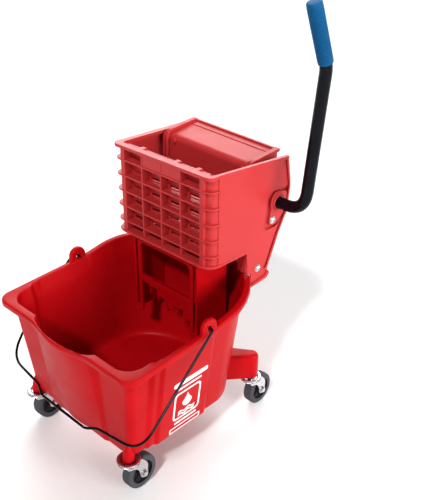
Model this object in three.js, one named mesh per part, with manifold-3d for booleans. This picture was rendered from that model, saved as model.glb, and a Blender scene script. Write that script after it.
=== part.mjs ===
// Commercial mop bucket on swivel casters, with a side-press wringer over its rear rim.
// Millimetres, +Z up, -Y the pouring end, +Y the wringer end, +X the lever side.
import * as THREE from "three";
import { mergeVertices } from "three/addons/utils/BufferGeometryUtils.js";
import Module from "manifold-3d";

const wasm = await Module();
wasm.setup();

// ---------- driving dimensions ----------
const GAP = 0.3; // clearance between pieces that touch
const WALL = 4; // moulded wall thickness

const TUB = {
  bottom: 90, // underside of the floor
  rimHalf: 210, // half the width over the rim flange
  rimFront: -275, // front of the rim at its corners
  rimRear: 170,
  rimRadius: 28,
  lipBulge: 13, // how far the pouring lip stands in front of the corners
  wallHalf: 197,
  wallFront: -265,
  wallRear: 159,
  wallBulge: 20,
  wallRadius: 24,
  baseHalf: 166,
  baseFront: -244,
  baseRear: 112,
  baseBulge: 4,
  flangeDrop: 12, // height of the flange's skirt
  rearStart: -4, // where the sides end and the rear arc starts
  rearPower: 1.9, // superellipse exponent of the rear arc
  panelRaise: 4, // raised field on each side
  cornerSetback: 6, // the wall stands back under the wide corner flange
};
const TUB_FRONT = [0, 0.18, 0.36, 0.5, 0.57, 1]; // stations across the straight front, as fractions
const TUB_LIP = 0.54; // the part of the front that the pouring lip takes
const TUB_SIDE = [-200, -192, -180, -174, -14, -8]; // stations along the straight sides, Y
const CORNER_STEPS = 5;
const REAR_STEPS = 10;
// The rear feet reach from the narrow rear of the tub out over their casters.
const FOOT = { rootX: 80, rootY: 60, rootHalf: 31, endRadius: 16, top: 150 };
const FRONT_BOSS = { radius: 12.6, topRadius: 5, height: 34, innerRadius: 12 };
const EAR = { y: -69, z: 338, radius: 20, thickness: 9, bore: 4.5 };
// The wire bail hangs in front; its middle is stepped down between two kinks.
const BAIL = { wire: 2.6, hang: THREE.MathUtils.degToRad(41), inner: 194, outer: 217.5, bottom: 287.5, shelf: 274 };

const CASTER = {
  wheelRadius: 37.5,
  wheelWidth: 24,
  hubRadius: 25,
  trail: 26,
  turn: THREE.MathUtils.degToRad(2), // how the forks happen to point
  ringRadius: 23,
  ringBottom: 77.5,
  ringTop: 86,
  axleRadius: 4,
  axleHead: 3.5,
  stemRadius: 6,
  stemTop: 104,
  plate: 2.5, // fork sheet
  sideGap: 1.5, // between wheel and fork
};
const CASTER_PLACES = [
  ["front_left", -153, -239],
  ["front_right", 153, -239],
  ["rear_left", -154, 126],
  ["rear_right", 154, 126],
];

const BASKET = {
  half: 141, // outer face of the side walls
  front: 1, // tips of the front ribs
  top: 604,
  lip: 7, // height of the lip along the top
  bottom: 409,
  skin: 22, // front face of the inner skin, behind the ribs
  cornerRadius: 26,
  wallStart: 24, // front edge of the side walls
  wallRear: 222, // the side walls' rear edge at the top
  ribTop: 573, // top face of the highest rib
  ribPitch: 35,
  ribs: 5,
  ribThickness: 4,
  columns: 4,
  columnPitch: 56,
  gussets: [-72, 30, 88], // small tabs that tie the lip to the skin
  drains: [-90, -60, -30, 0, 30, 60, 90], // slots in the floor
  backBar: 192, // front face of the bar across the rear of the floor
  flare: THREE.MathUtils.degToRad(3), // the lever side opens towards the rear
};
const SHAFT = { y: 195, z: 498, radius: 12.7 };
const LEVER = {
  x: 219,
  lean: THREE.MathUtils.degToRad(7), // backwards, below the bend
  nod: THREE.MathUtils.degToRad(-24), // forwards, above the bend
  lower: 290,
  upper: 132,
  tubeWall: 2,
  gripLength: 121,
  gripRadius: 15.5,
};
const GEAR = { teeth: 14, pitchRadius: 35, addendum: 4, dedendum: 5, halfThickness: 3.1, inner: 120.5, width: 9 };
const RACK = { bottom: 443, inner: 119.3, width: 10, travel: 55, railHeight: 8, railFront: 30, railRear: 190 };
const PRESS = {
  half: 119,
  face: 138, // front of the squeezing face
  rear: 224,
  bottom: 420,
  foldZ: 590, // where the face folds back into the shelf
  rearZ: 602,
  cheekFront: 126,
  ribs: [-56, 0, 56],
  tabs: [-100, 100],
};
const HOUSING = {
  half: 97,
  front: 8,
  rear: 99,
  bottom: 214,
  window: 76, // half the width of the window and of the opening under it
  lintel: 388,
  barTop: 309,
  barBottom: 295,
  fins: [-42, -22, 18, 52],
  finDrop: 48,
};
// The saddle hangs over the rear rim.
const SADDLE = { half: 60, front: 131, rear: 178, z: 353, plate: 6, skirt: 26 };
const SCREW = { shank: 3, length: 10, hole: 3.5, head: 7.5, headHeight: 4 };
const BEARING_SCREW = { y: 181, z: 461 };
const LEG_SCREW = { y: 141, z: 360 };
const BUSH = { radius: 16.9, hole: 17.3, length: 15 };
const POCKET_DEPTH = 6; // of the recess that holds a bearing plate
const ARM_THICKNESS = 5.4;

// ---------- solids ----------
function solidOf(geometry) {
  const loose = geometry.index ? geometry.toNonIndexed() : geometry;
  const bare = new THREE.BufferGeometry().setAttribute("position", loose.getAttribute("position"));
  const merged = mergeVertices(bare, 1e-4);
  return new wasm.Manifold(
    new wasm.Mesh({
      numProp: 3,
      vertProperties: new Float32Array(merged.attributes.position.array),
      triVerts: new Uint32Array(merged.index.array),
    }),
  );
}

function geometryOf(solid) {
  const mesh = solid.getMesh();
  const geometry = new THREE.BufferGeometry();
  geometry.setAttribute("position", new THREE.BufferAttribute(new Float32Array(mesh.vertProperties), 3));
  geometry.setIndex(new THREE.BufferAttribute(new Uint32Array(mesh.triVerts), 1));
  geometry.computeVertexNormals();
  return geometry;
}

const join = (first, ...others) => others.reduce((sum, other) => sum.add(other), first);
const cut = (first, ...others) => others.reduce((rest, other) => rest.subtract(other), first);

function box(x0, x1, y0, y1, z0, z1) {
  const geometry = new THREE.BoxGeometry(x1 - x0, y1 - y0, z1 - z0);
  return solidOf(geometry.translate((x0 + x1) / 2, (y0 + y1) / 2, (z0 + z1) / 2));
}

// A closed outline of [a, b, corner radius] points.
function outline(points) {
  const shape = new THREE.Shape();
  const place = (i) => new THREE.Vector2(...points[(i + points.length) % points.length].slice(0, 2));
  points.forEach((point, i) => {
    const here = place(i);
    const radius = point[2] ?? 0;
    const towards = (other) => other.sub(here).setLength(radius).add(here);
    const start = radius ? towards(place(i - 1)) : here;
    if (i === 0) shape.moveTo(start.x, start.y);
    else shape.lineTo(start.x, start.y);
    if (radius) {
      const end = towards(place(i + 1));
      shape.quadraticCurveTo(here.x, here.y, end.x, end.y);
    }
  });
  shape.closePath();
  return shape;
}

function extruded(shape, depth, curveSegments = 5) {
  return new THREE.ExtrudeGeometry(shape, { depth, bevelEnabled: false, curveSegments });
}

// Plates: the outline lies in the named plane and is as thick as the two limits say.
const plateXY = (points, z0, z1) => solidOf(extruded(outline(points), z1 - z0).translate(0, 0, z0));

function plateYZ(points, x0, x1) {
  const axes = new THREE.Matrix4().makeBasis(
    new THREE.Vector3(0, 1, 0),
    new THREE.Vector3(0, 0, 1),
    new THREE.Vector3(1, 0, 0),
  );
  return solidOf(extruded(outline(points), x1 - x0).applyMatrix4(axes).translate(x0, 0, 0));
}

function plateXZ(points, y0, y1) {
  const axes = new THREE.Matrix4().makeBasis(
    new THREE.Vector3(1, 0, 0),
    new THREE.Vector3(0, 0, 1),
    new THREE.Vector3(0, -1, 0),
  );
  return solidOf(extruded(outline(points), y1 - y0).applyMatrix4(axes).translate(0, y1, 0));
}

function rodX(x0, x1, y, z, radius, sides = 20) {
  const rod = new THREE.CylinderGeometry(radius, radius, x1 - x0, sides).rotateZ(Math.PI / 2);
  return solidOf(rod.translate((x0 + x1) / 2, y, z));
}

function rodZ(x, y, z0, z1, radius, topRadius = radius, sides = 20) {
  const rod = new THREE.CylinderGeometry(topRadius, radius, z1 - z0, sides).rotateX(Math.PI / 2);
  return solidOf(rod.translate(x, y, (z0 + z1) / 2));
}

// A turned piece about the Z axis from [radius, z] points.
function turned(profile, segments) {
  const points = profile.map(([r, z]) => new THREE.Vector2(r, z));
  return new THREE.LatheGeometry(points, segments).rotateX(Math.PI / 2);
}

const mirrored = (solid) => solid.mirror([1, 0, 0]);

// A closed skin over rings of points, each ring anticlockwise from above, fanned shut at both ends.
function loft(rings) {
  const count = rings[0].length;
  const corners = [];
  const centre = (ring) => ring.reduce((sum, p) => sum.add(p), new THREE.Vector3()).divideScalar(count);
  const triangle = (a, b, c) => corners.push(a, b, c);
  for (let k = 0; k < count; k++) {
    const next = (k + 1) % count;
    for (let r = 0; r + 1 < rings.length; r++) {
      triangle(rings[r][k], rings[r][next], rings[r + 1][next]);
      triangle(rings[r][k], rings[r + 1][next], rings[r + 1][k]);
    }
    triangle(centre(rings[0]), rings[0][next], rings[0][k]);
    const last = rings.at(-1);
    triangle(centre(last), last[k], last[next]);
  }
  return new THREE.BufferGeometry().setFromPoints(corners);
}

// Points along straight legs whose corners are rounded; each point is [x, y, z, setback].
function roundedPath(points, steps = 5) {
  const place = (i) => new THREE.Vector3(...points[i].slice(0, 3));
  const path = [place(0)];
  for (let i = 1; i + 1 < points.length; i++) {
    const corner = place(i);
    const towards = (other) => other.sub(corner).setLength(points[i][3]).add(corner);
    const bend = new THREE.QuadraticBezierCurve3(towards(place(i - 1)), corner, towards(place(i + 1)));
    path.push(...bend.getPoints(steps));
  }
  path.push(place(points.length - 1));
  return path;
}

// A round rod along a list of points.
function sweep(path, radius, sides) {
  const along = path.map((point, i) => {
    const before = path[Math.max(i - 1, 0)];
    const after = path[Math.min(i + 1, path.length - 1)];
    return after.clone().sub(before).normalize();
  });
  let across = new THREE.Vector3(0, 0, 1).cross(along[0]);
  if (across.length() < 0.1) across = new THREE.Vector3(1, 0, 0).cross(along[0]);
  const rings = path.map((point, i) => {
    across = across.clone().addScaledVector(along[i], -across.dot(along[i])).normalize();
    const up = along[i].clone().cross(across);
    return Array.from({ length: sides }, (_, k) => {
      const angle = (2 * Math.PI * k) / sides;
      const offset = across.clone().multiplyScalar(Math.cos(angle) * radius);
      return offset.addScaledVector(up, Math.sin(angle) * radius).add(point);
    });
  });
  return solidOf(loft(rings));
}

// ---------- materials ----------
const red = { color: 0xc4161c, roughness: 0.42, metalness: 0 };
const steel = { color: 0xb9bcc0, roughness: 0.3, metalness: 1 };
const rubber = { color: 0x6d6e71, roughness: 0.7, metalness: 0 };
const black = { color: 0x111214, roughness: 0.35, metalness: 0.2 };
const blue = { color: 0x1480bd, roughness: 0.55, metalness: 0 };

const object = new THREE.Group();

function add(name, solid, look, parent = object) {
  const mesh = new THREE.Mesh(geometryOf(solid), new THREE.MeshStandardMaterial(look));
  mesh.name = name;
  parent.add(mesh);
}

// ---------- bucket ----------
// One plan outline of the tub as points with outward normals and the zone that each lies in.
function tubPlan({ half, front, bulge, rear, radius }) {
  const flat = half - radius;
  const right = TUB_FRONT.map((u) => {
    const lip = Math.cos((Math.PI / 2) * Math.min(1, u / TUB_LIP)) ** 2;
    return { x: u * flat, y: front - bulge * lip, nx: 0, ny: -1, zone: u < TUB_LIP ? "lip" : "corner" };
  });
  for (let k = 1; k <= CORNER_STEPS; k++) {
    const angle = ((k / CORNER_STEPS) * Math.PI) / 2;
    const [nx, ny] = [Math.sin(angle), -Math.cos(angle)];
    right.push({ x: flat + radius * nx, y: front + radius + radius * ny, nx, ny, zone: "corner" });
  }
  for (const y of TUB_SIDE) {
    const panel = y > TUB_SIDE[2] && y < TUB_SIDE[5];
    right.push({ x: half, y, nx: 1, ny: 0, zone: y < TUB_SIDE[1] ? "corner" : panel ? "panel" : "side" });
  }
  for (let k = 0; k <= REAR_STEPS; k++) {
    const angle = ((k / REAR_STEPS) * Math.PI) / 2;
    const [c, s] = [Math.cos(angle), Math.sin(angle)];
    const x = k === REAR_STEPS ? 0 : half * c ** (2 / TUB.rearPower);
    const y = TUB.rearStart + (rear - TUB.rearStart) * s ** (2 / TUB.rearPower);
    right.push({ x, y, nx: c, ny: s, zone: "rear" });
  }
  const left = right.slice(1, -1).reverse();
  return [...right, ...left.map((p) => ({ ...p, x: -p.x, nx: -p.nx }))];
}

// The rim climbs from the lip to the rear.
function rimHeight(point) {
  const slope = 12 * THREE.MathUtils.clamp((point.y + 272) / 200, 0, 1);
  const dip = point.zone === "lip" ? 3 : 0;
  return 316 - dip + slope + 24 * THREE.MathUtils.smoothstep(point.y, -90, 90);
}

// A ring of 3-D points from a plan; push(point) moves each out along its normal.
function tubRing(plan, height, push = () => 0) {
  return tubPlan(plan).map((point) => {
    const out = push(point);
    const z = typeof height === "function" ? height(point) : height;
    return new THREE.Vector3(point.x + out * point.nx, point.y + out * point.ny, z);
  });
}

const TUB_SOLE = 0.8; // feet and bosses stand this far below the floor

const PLANS = {
  base: { half: TUB.baseHalf, front: TUB.baseFront, bulge: TUB.baseBulge, rear: TUB.baseRear, radius: TUB.wallRadius },
  wall: { half: TUB.wallHalf, front: TUB.wallFront, bulge: TUB.wallBulge, rear: TUB.wallRear, radius: TUB.wallRadius },
  rim: { half: TUB.rimHalf, front: TUB.rimFront, bulge: TUB.lipBulge, rear: TUB.rimRear, radius: TUB.rimRadius },
};

function tubOutside() {
  const raised = (p) => (p.zone === "panel" ? TUB.panelRaise : p.zone === "corner" ? -TUB.cornerSetback / 2 : 0);
  const under = (p) => (p.zone === "panel" ? TUB.panelRaise : p.zone === "corner" ? -TUB.cornerSetback : 0);
  const below = (drop) => (p) => rimHeight(p) - drop;
  return solidOf(
    loft([
      tubRing(PLANS.base, TUB.bottom, (p) => raised(p) - 4),
      tubRing(PLANS.base, TUB.bottom + 5, raised),
      tubRing(PLANS.wall, below(TUB.flangeDrop), under),
      tubRing(PLANS.rim, below(TUB.flangeDrop)),
      tubRing(PLANS.rim, below(2)),
      tubRing(PLANS.rim, rimHeight, () => -2),
      tubRing(PLANS.rim, rimHeight, () => 1 - TUB.rimRadius),
    ]),
  );
}

function tubInside() {
  const edge = (p) => -WALL - (p.zone === "corner" ? TUB.cornerSetback : 0);
  const above = (rise) => (p) => rimHeight(p) + rise;
  return solidOf(
    loft([
      tubRing(PLANS.base, TUB.bottom + WALL, () => -WALL - 8),
      tubRing(PLANS.base, TUB.bottom + WALL + 5, () => -WALL - 2),
      tubRing(PLANS.wall, above(-4), (p) => edge(p) + (p.zone === "lip" ? 0 : -1)),
      tubRing(PLANS.wall, above(30), edge),
    ]),
  );
}

function rearFoot([, x, y]) {
  const root = new THREE.Vector2(FOOT.rootX, FOOT.rootY);
  const end = new THREE.Vector2(x, y);
  const forward = end.clone().sub(root).normalize();
  const side = new THREE.Vector2(-forward.y, forward.x);
  const at = (base, along, across) => base.clone().addScaledVector(forward, along).addScaledVector(side, across);
  const points = [at(root, 0, -FOOT.rootHalf), at(end, 0, -FOOT.endRadius)];
  for (let k = 1; k < 8; k++) {
    const angle = -Math.PI / 2 + (k * Math.PI) / 8;
    points.push(at(end, FOOT.endRadius * Math.cos(angle), FOOT.endRadius * Math.sin(angle)));
  }
  points.push(at(end, 0, FOOT.endRadius), at(root, 0, FOOT.rootHalf));
  return plateXY(points.map((p) => [p.x, p.y]), TUB.bottom - TUB_SOLE, FOOT.top);
}

function ear() {
  const { y, z, radius, thickness } = EAR;
  const arch = [
    [y - radius - 3, z - 22],
    [y - radius, z - 8, 4],
    [y - radius, z + radius, radius],
    [y + radius, z + radius, radius],
    [y + radius, z - 8, 4],
    [y + radius + 3, z - 22],
  ];
  const outer = TUB.rimHalf - 1;
  return plateYZ(arch, outer - thickness, outer);
}

function frontBoss() {
  const [, x, y] = CASTER_PLACES[1];
  const { radius, topRadius, height } = FRONT_BOSS;
  return rodZ(x, y, TUB.bottom - TUB_SOLE, TUB.bottom + height, radius, topRadius);
}

function bucketTub() {
  const bore = CASTER.stemRadius + 0.4;
  const boreTop = CASTER.stemTop + 2;
  const foot = rearFoot(CASTER_PLACES[3]);
  const boss = frontBoss();
  const [, frontX, frontY] = CASTER_PLACES[1];
  const innerBoss = rodZ(frontX, frontY, TUB.bottom, boreTop + WALL, FRONT_BOSS.innerRadius);
  const hollow = cut(tubInside(), innerBoss, mirrored(innerBoss));
  const body = join(tubOutside(), foot, mirrored(foot), boss, mirrored(boss));
  const rightEar = ear();
  const pierced = rodX(TUB.rimHalf - 30, TUB.rimHalf + 10, EAR.y, EAR.z, EAR.bore, 14);
  const bores = CASTER_PLACES.map(([, x, y]) => rodZ(x, y, TUB.bottom - 10, boreTop, bore, bore, 14));
  const walled = cut(body, hollow);
  return cut(join(walled, rightEar, mirrored(rightEar)), pierced, mirrored(pierced), ...bores);
}

// Bail points lie in a plane through the ear axis, v millimetres from it.
function bailPoint(x, v, setback) {
  return [x, EAR.y - v * Math.cos(BAIL.hang), EAR.z - v * Math.sin(BAIL.hang), setback];
}

function bailWire() {
  const { inner, outer, bottom, shelf } = BAIL;
  const route = [
    bailPoint(inner, 0, 0),
    bailPoint(outer, 0, 7),
    bailPoint(outer + 5.5, 262, 45),
    bailPoint(108, shelf, 7),
    bailPoint(82, bottom, 7),
    bailPoint(-60, bottom, 7),
    bailPoint(-86, shelf, 7),
    bailPoint(-196, 262, 42),
    bailPoint(3 - outer, 190, 20),
    bailPoint(-outer, 0, 7),
    bailPoint(-inner, 0, 0),
  ];
  return sweep(roundedPath(route, 4), BAIL.wire, 8);
}

add("bucket_tub", bucketTub(), red);
add("bail_wire", bailWire(), black);

// ---------- casters ----------
// Each caster is built about its swivel axis, trailing towards +Y.
const FORK_INNER = CASTER.wheelWidth / 2 + CASTER.sideGap;

function casterStem() {
  const pin = CASTER.stemRadius;
  const profile = [
    [0, CASTER.ringBottom - 1.8],
    [pin + 4, CASTER.ringBottom - 1.8],
    [pin + 4, CASTER.ringBottom - GAP],
    [pin, CASTER.ringBottom - GAP],
    [pin, CASTER.ringTop + GAP],
    [11.5, CASTER.ringTop + GAP],
    [11.5, TUB.bottom - TUB_SOLE - GAP],
    [pin, TUB.bottom - TUB_SOLE - GAP],
    [pin, CASTER.stemTop],
    [0, CASTER.stemTop],
  ];
  return solidOf(turned(profile, 14));
}

function casterFork() {
  const { ringRadius, ringBottom, ringTop, trail, wheelRadius, axleRadius, stemRadius } = CASTER;
  const hole = stemRadius + 0.6;
  const ring = turned(
    [
      [hole, ringBottom],
      [ringRadius - 3, ringBottom],
      [ringRadius, ringBottom + 4],
      [ringRadius - 3, ringTop],
      [hole, ringTop],
      [hole, ringBottom],
    ],
    20,
  );
  const side = [
    [-17, ringBottom + 3],
    [22, ringBottom + 3, 3],
    [trail + 12, 58, 8],
    [trail + 9, wheelRadius - 8, 7],
    [trail - 9, wheelRadius - 8, 7],
    [trail - 12, 52, 10],
  ];
  const leg = plateYZ(side, FORK_INNER, FORK_INNER + CASTER.plate);
  const axleBore = rodX(-30, 30, trail, wheelRadius, axleRadius + 0.3, 12);
  return cut(join(solidOf(ring), leg, mirrored(leg)), axleBore);
}

// Axle, tyre and hub turn about X at the trail.
function onAxle(geometry) {
  return solidOf(geometry.rotateY(Math.PI / 2).translate(0, CASTER.trail, CASTER.wheelRadius));
}

function casterAxle() {
  const reach = FORK_INNER + CASTER.plate + GAP;
  const { axleRadius, axleHead: head } = CASTER;
  const profile = [
    [0, -reach - head],
    [axleRadius + 3, -reach - head],
    [axleRadius + 3, -reach],
    [axleRadius, -reach],
    [axleRadius, reach],
    [axleRadius + 3, reach],
    [axleRadius + 3, reach + head],
    [0, reach + head],
  ];
  return onAxle(turned(profile, 12));
}

function casterTyre() {
  const [r, w] = [CASTER.wheelRadius, CASTER.wheelWidth / 2];
  const inner = CASTER.hubRadius;
  const profile = [
    [inner, -w],
    [r - 6, -w],
    [r - 1.5, -w + 3.5],
    [r, 0],
    [r - 1.5, w - 3.5],
    [r - 6, w],
    [inner, w],
    [inner, -w],
  ];
  return onAxle(turned(profile, 28));
}

function casterHub() {
  const w = CASTER.wheelWidth / 2;
  const bore = CASTER.axleRadius + GAP;
  const outer = CASTER.hubRadius - GAP;
  const profile = [
    [bore, -w - 1],
    [10, -w - 1],
    [11, -w + 4],
    [20, -w + 3],
    [outer, -w],
    [outer, w],
    [20, w - 3],
    [11, w - 4],
    [10, w + 1],
    [bore, w + 1],
    [bore, -w - 1],
  ];
  return onAxle(turned(profile, 16));
}

for (const [place, x, y] of CASTER_PLACES) {
  const caster = new THREE.Group();
  caster.position.set(x, y, 0);
  caster.rotation.z = CASTER.turn;
  object.add(caster);
  add(`caster_${place}_stem`, casterStem(), steel, caster);
  add(`caster_${place}_fork`, casterFork(), steel, caster);
  add(`caster_${place}_axle`, casterAxle(), steel, caster);
  add(`caster_${place}_tyre`, casterTyre(), rubber, caster);
  add(`caster_${place}_hub`, casterHub(), black, caster);
}

// ---------- wringer ----------
// The lever side wall and what is fixed to it are drawn square, then turned about its front edge.
function flared(solid) {
  const back = solid.translate([-BASKET.half, -BASKET.wallStart, 0]);
  const turnedBack = back.rotate([0, 0, -THREE.MathUtils.radToDeg(BASKET.flare)]);
  return turnedBack.translate([BASKET.half, BASKET.wallStart, 0]);
}

// Side wall outline in Y and Z, with the leg that reaches down outside the bucket.
function wallOutline(topRear) {
  return [
    [BASKET.wallStart, BASKET.top],
    [BASKET.wallRear, topRear, 3],
    [234, 527, 12],
    [226, 467, 12],
    [204, 424],
    [171, 345],
    [174, 338, 3],
    [166, 328, 3],
    [125, 322, 3],
    [124, 362, 6],
    [110, BASKET.bottom, 4],
    [BASKET.wallStart, BASKET.bottom],
  ];
}

// The groove just inside the rear edge of a side wall, with a margin round it.
function rearGroove(topRear, margin = 0) {
  const front = [[BASKET.wallRear - 15, topRear - 6 + margin], [218, 527], [211, 469], [190, 424], [160, 352 - margin]];
  const rear = [[BASKET.wallRear - 5, topRear - 6 + margin], [229, 527], [221, 469], [199, 426], [168, 352 - margin]];
  const forward = front.map(([y, z]) => [y - margin, z]).reverse();
  return [...rear.map(([y, z]) => [y + margin, z]), ...forward];
}

// Bearing plate and the recess round it, in Y and Z.
const BEARING_ARM = [
  [184, 524, 14],
  [224, 516, 8],
  [221, 474, 8],
  [192, 446, 10],
  [170, 450, 10],
];
const BEARING_POCKET = [
  [178, 536, 18],
  [229, 526, 6],
  [225, 466, 8],
  [196, 440, 6],
  [152, 444, 14],
];
// A side wall as drawn on the +X side, before any flare.
function sideWall(topRear) {
  const outer = BASKET.half;
  const padInner = outer - WALL - POCKET_DEPTH;
  const wall = plateYZ(wallOutline(topRear), outer - WALL, outer);
  const band = plateYZ(rearGroove(topRear, 2.5), outer - WALL - 4, outer - 1);
  const pad = plateYZ(BEARING_POCKET, padInner, outer - 0.5);
  const groove = plateYZ(rearGroove(topRear), outer - WALL, outer + 1);
  const pocket = plateYZ(
    BEARING_POCKET.map(([y, z, r]) => [y + (y < 200 ? 3 : -3), z + (z > 490 ? -3 : 3), r]),
    outer - POCKET_DEPTH,
    outer + 1,
  );
  const armHole = rodX(padInner - 5, outer + 5, BEARING_SCREW.y, BEARING_SCREW.z, SCREW.hole, 10);
  const legHole = rodX(padInner - 5, outer + 5, LEG_SCREW.y, LEG_SCREW.z, SCREW.hole, 10);
  return cut(join(cut(join(wall, band), groove), pad), pocket, armHole, legHole);
}

// Front block with its outer corners rounded, cut into a waffle of open cells.
function frontGrid() {
  const { half, front, skin, cornerRadius, wallStart, bottom, top } = BASKET;
  const block = plateXY(
    [
      [-half, wallStart + 3],
      [-half, front, cornerRadius],
      [half, front, cornerRadius],
      [half, wallStart + 3],
    ],
    bottom,
    top - 4, // up into the lip
  );
  return cut(block, ...gridCells(skin, front));
}

function gridCells(skin, front) {
  const { ribTop, ribPitch, ribs, ribThickness, columns, columnPitch, top, bottom, half, wallStart } = BASKET;
  const cells = [];
  const cornerX = (columns / 2) * columnPitch + ribThickness;
  for (let row = 0; row <= ribs; row++) {
    const floorZ = row < ribs ? ribTop - row * ribPitch : bottom + ribThickness;
    const roofZ = row === 0 ? top - BASKET.lip : ribTop - (row - 1) * ribPitch - ribThickness;
    for (let column = 0; column < columns; column++) {
      const flush = row === 0 && (column === 1 || column === 2);
      const x0 = (column - columns / 2) * columnPitch + ribThickness / 2;
      const x1 = x0 + columnPitch - ribThickness;
      if (flush) continue;
      cells.push(box(x0, x1, front - 5, skin, floorZ, roofZ));
      if (row > 0 && row < ribs) cells.push(box(x0 + 5, x1 - 5, skin - 2, skin + WALL + 3, floorZ + 2, floorZ + 8));
    }
    const corner = box(cornerX, half + 5, front - 5, wallStart - 5, floorZ, roofZ);
    cells.push(corner, mirrored(corner));
  }
  return cells;
}

// The rounded lip along the top of the front and side walls, falling a little towards the rear.
function topLip() {
  const { half, front, top, wallStart, wallRear, flare, lip: height } = BASKET;
  const opening = half - 6;
  const reach = wallRear - wallStart;
  const swing = Math.tan(flare) * reach;
  const lip = outline([
    [-half - 1, wallRear],
    [-half - 1, front - 2, 12],
    [half + 1, front - 2, 12],
    [half + 1, wallStart],
    [half + 1 + swing, wallRear],
    [opening + swing, wallRear],
    [opening, wallStart],
    [opening, front + 17, 8],
    [-opening, front + 17, 8],
    [-opening, wallRear],
  ]);
  const geometry = extruded(lip, height).translate(0, 0, top - height);
  const places = geometry.getAttribute("position");
  for (let i = 0; i < places.count; i++) {
    const behind = Math.max(0, places.getY(i) - wallStart) / reach;
    const fall = places.getX(i) > 0 ? 10 : 4;
    places.setZ(i, places.getZ(i) - fall * behind);
  }
  return solidOf(geometry);
}

function basketFloor() {
  const { half, skin, bottom, drains, backBar } = BASKET;
  const floor = box(-half + 2, half - 2, skin, backBar + WALL, bottom - 1, bottom + 3);
  const slots = drains.map((x) => box(x - 5, x + 5, 40, 126, bottom - 5, bottom + 8));
  return cut(floor, ...slots);
}

// The flange round the bottom of the front and sides.
function bottomFlange() {
  const { half, front, bottom, wallStart } = BASKET;
  return plateXY(
    [
      [-half - 2, 108],
      [-half - 2, front - 5, 34],
      [half + 2, front - 5, 34],
      [half + 4, 108],
      [half - 10, 108],
      [half - 10, wallStart + 4],
      [-half + 10, wallStart + 4],
      [-half + 10, 108],
    ],
    bottom - 4,
    bottom + 1,
  );
}

// Ledge that a rack slides on; swing widens it towards the rear with the flared wall.
function guideRail(swing) {
  const { inner, bottom, railHeight, railFront, railRear } = RACK;
  const wall = BASKET.half - 3;
  const ledge = [[inner + 1, railFront], [wall, railFront], [wall + swing, railRear], [inner + 1, railRear]];
  return plateXY(ledge, bottom - railHeight, bottom - GAP);
}

function gusset(x) {
  return box(x - 7, x + 7, BASKET.front + 10, BASKET.skin + 9, BASKET.top - 9, BASKET.top - 3);
}

function wringerBasket() {
  const { half, bottom, backBar } = BASKET;
  const hangingRib = box(-6, 6, 46, 50, 366, bottom);
  const bar = box(-half + 2, half + 6, backBar, backBar + WALL, bottom - 1, PRESS.bottom - 2);
  const whole = join(
    frontGrid(),
    mirrored(sideWall(600)),
    flared(sideWall(594)),
    topLip(),
    basketFloor(),
    bottomFlange(),
    guideRail(8),
    mirrored(guideRail(0)),
    hangingRib,
    bar,
    ...BASKET.gussets.map(gusset),
  );
  return cut(whole, rodX(-half - 20, half + 30, SHAFT.y, SHAFT.z, BUSH.hole, 24));
}

function wringerHousing() {
  const { half, front, rear, bottom, window, barTop, barBottom, lintel, fins, finDrop } = HOUSING;
  const top = BASKET.bottom - 4 - GAP;
  const shell = cut(
    box(-half, half, front, rear, bottom, top),
    box(-half + WALL, half - WALL, front + WALL, rear - WALL, bottom - 5, top + 5),
  );
  const windowHole = plateXZ(
    [[-window, barTop], [-window, lintel, 10], [window, lintel, 10], [window, barTop]],
    front - 5,
    front + WALL + 3,
  );
  const lowerHole = box(-window, window, front - 5, front + WALL + 3, bottom - 5, barBottom);
  const postSlot = box(half - 9, half - WALL, front - 5, front + WALL + 2, bottom + 14, lintel);
  const sill = box(-window - 2, window + 2, front + 1, front + 12, barTop - 6, barTop);
  const hanging = fins.map((x) => box(x - 2, x + 2, front + 1, front + 30, barBottom - finDrop, barBottom + 2));
  const finTie = box(-half + 2, half - 2, front + 24, front + 28, barBottom - 30, barBottom - 12);
  const foot = box(half - 12, half + 3, front - 4, front + 16, bottom, bottom + 4);
  const cutShell = cut(shell, windowHole, lowerHole, postSlot, mirrored(postSlot));
  return join(cutShell, sill, ...hanging, finTie, foot, mirrored(foot));
}

function wringerSaddle() {
  const { half, front, rear, z, skirt } = SADDLE;
  const top = BASKET.bottom - 1 - GAP;
  const plate = box(-half, half, front, rear, z, z + SADDLE.plate);
  const skirts = [
    box(-half, half, front, front + WALL, z - skirt, z + 1),
    box(-half, half, rear - WALL, rear, z - skirt, z + 1),
  ];
  const webs = [-half, -WALL / 2, half - WALL].map((x) => box(x, x + WALL, front, rear, z + SADDLE.plate - 1, top));
  return join(plate, ...skirts, ...webs);
}

add("wringer_basket", wringerBasket(), red);
add("wringer_housing", wringerHousing(), red);
add("wringer_saddle", wringerSaddle(), red);

// ---------- press ----------
function cheek() {
  const { cheekFront, rear, bottom, rearZ } = PRESS;
  const clear = SHAFT.radius + 3;
  return plateYZ(
    [
      [cheekFront, bottom, 6],
      [cheekFront, rearZ - 4, 26],
      [rear, rearZ + 4, 4],
      [rear, SHAFT.z + clear],
      [SHAFT.y - clear, SHAFT.z + clear, 10],
      [SHAFT.y - clear, SHAFT.z - clear, 10],
      [rear, SHAFT.z - clear],
      [rear, bottom, 6],
    ],
    PRESS.half - WALL,
    PRESS.half,
  );
}

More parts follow.
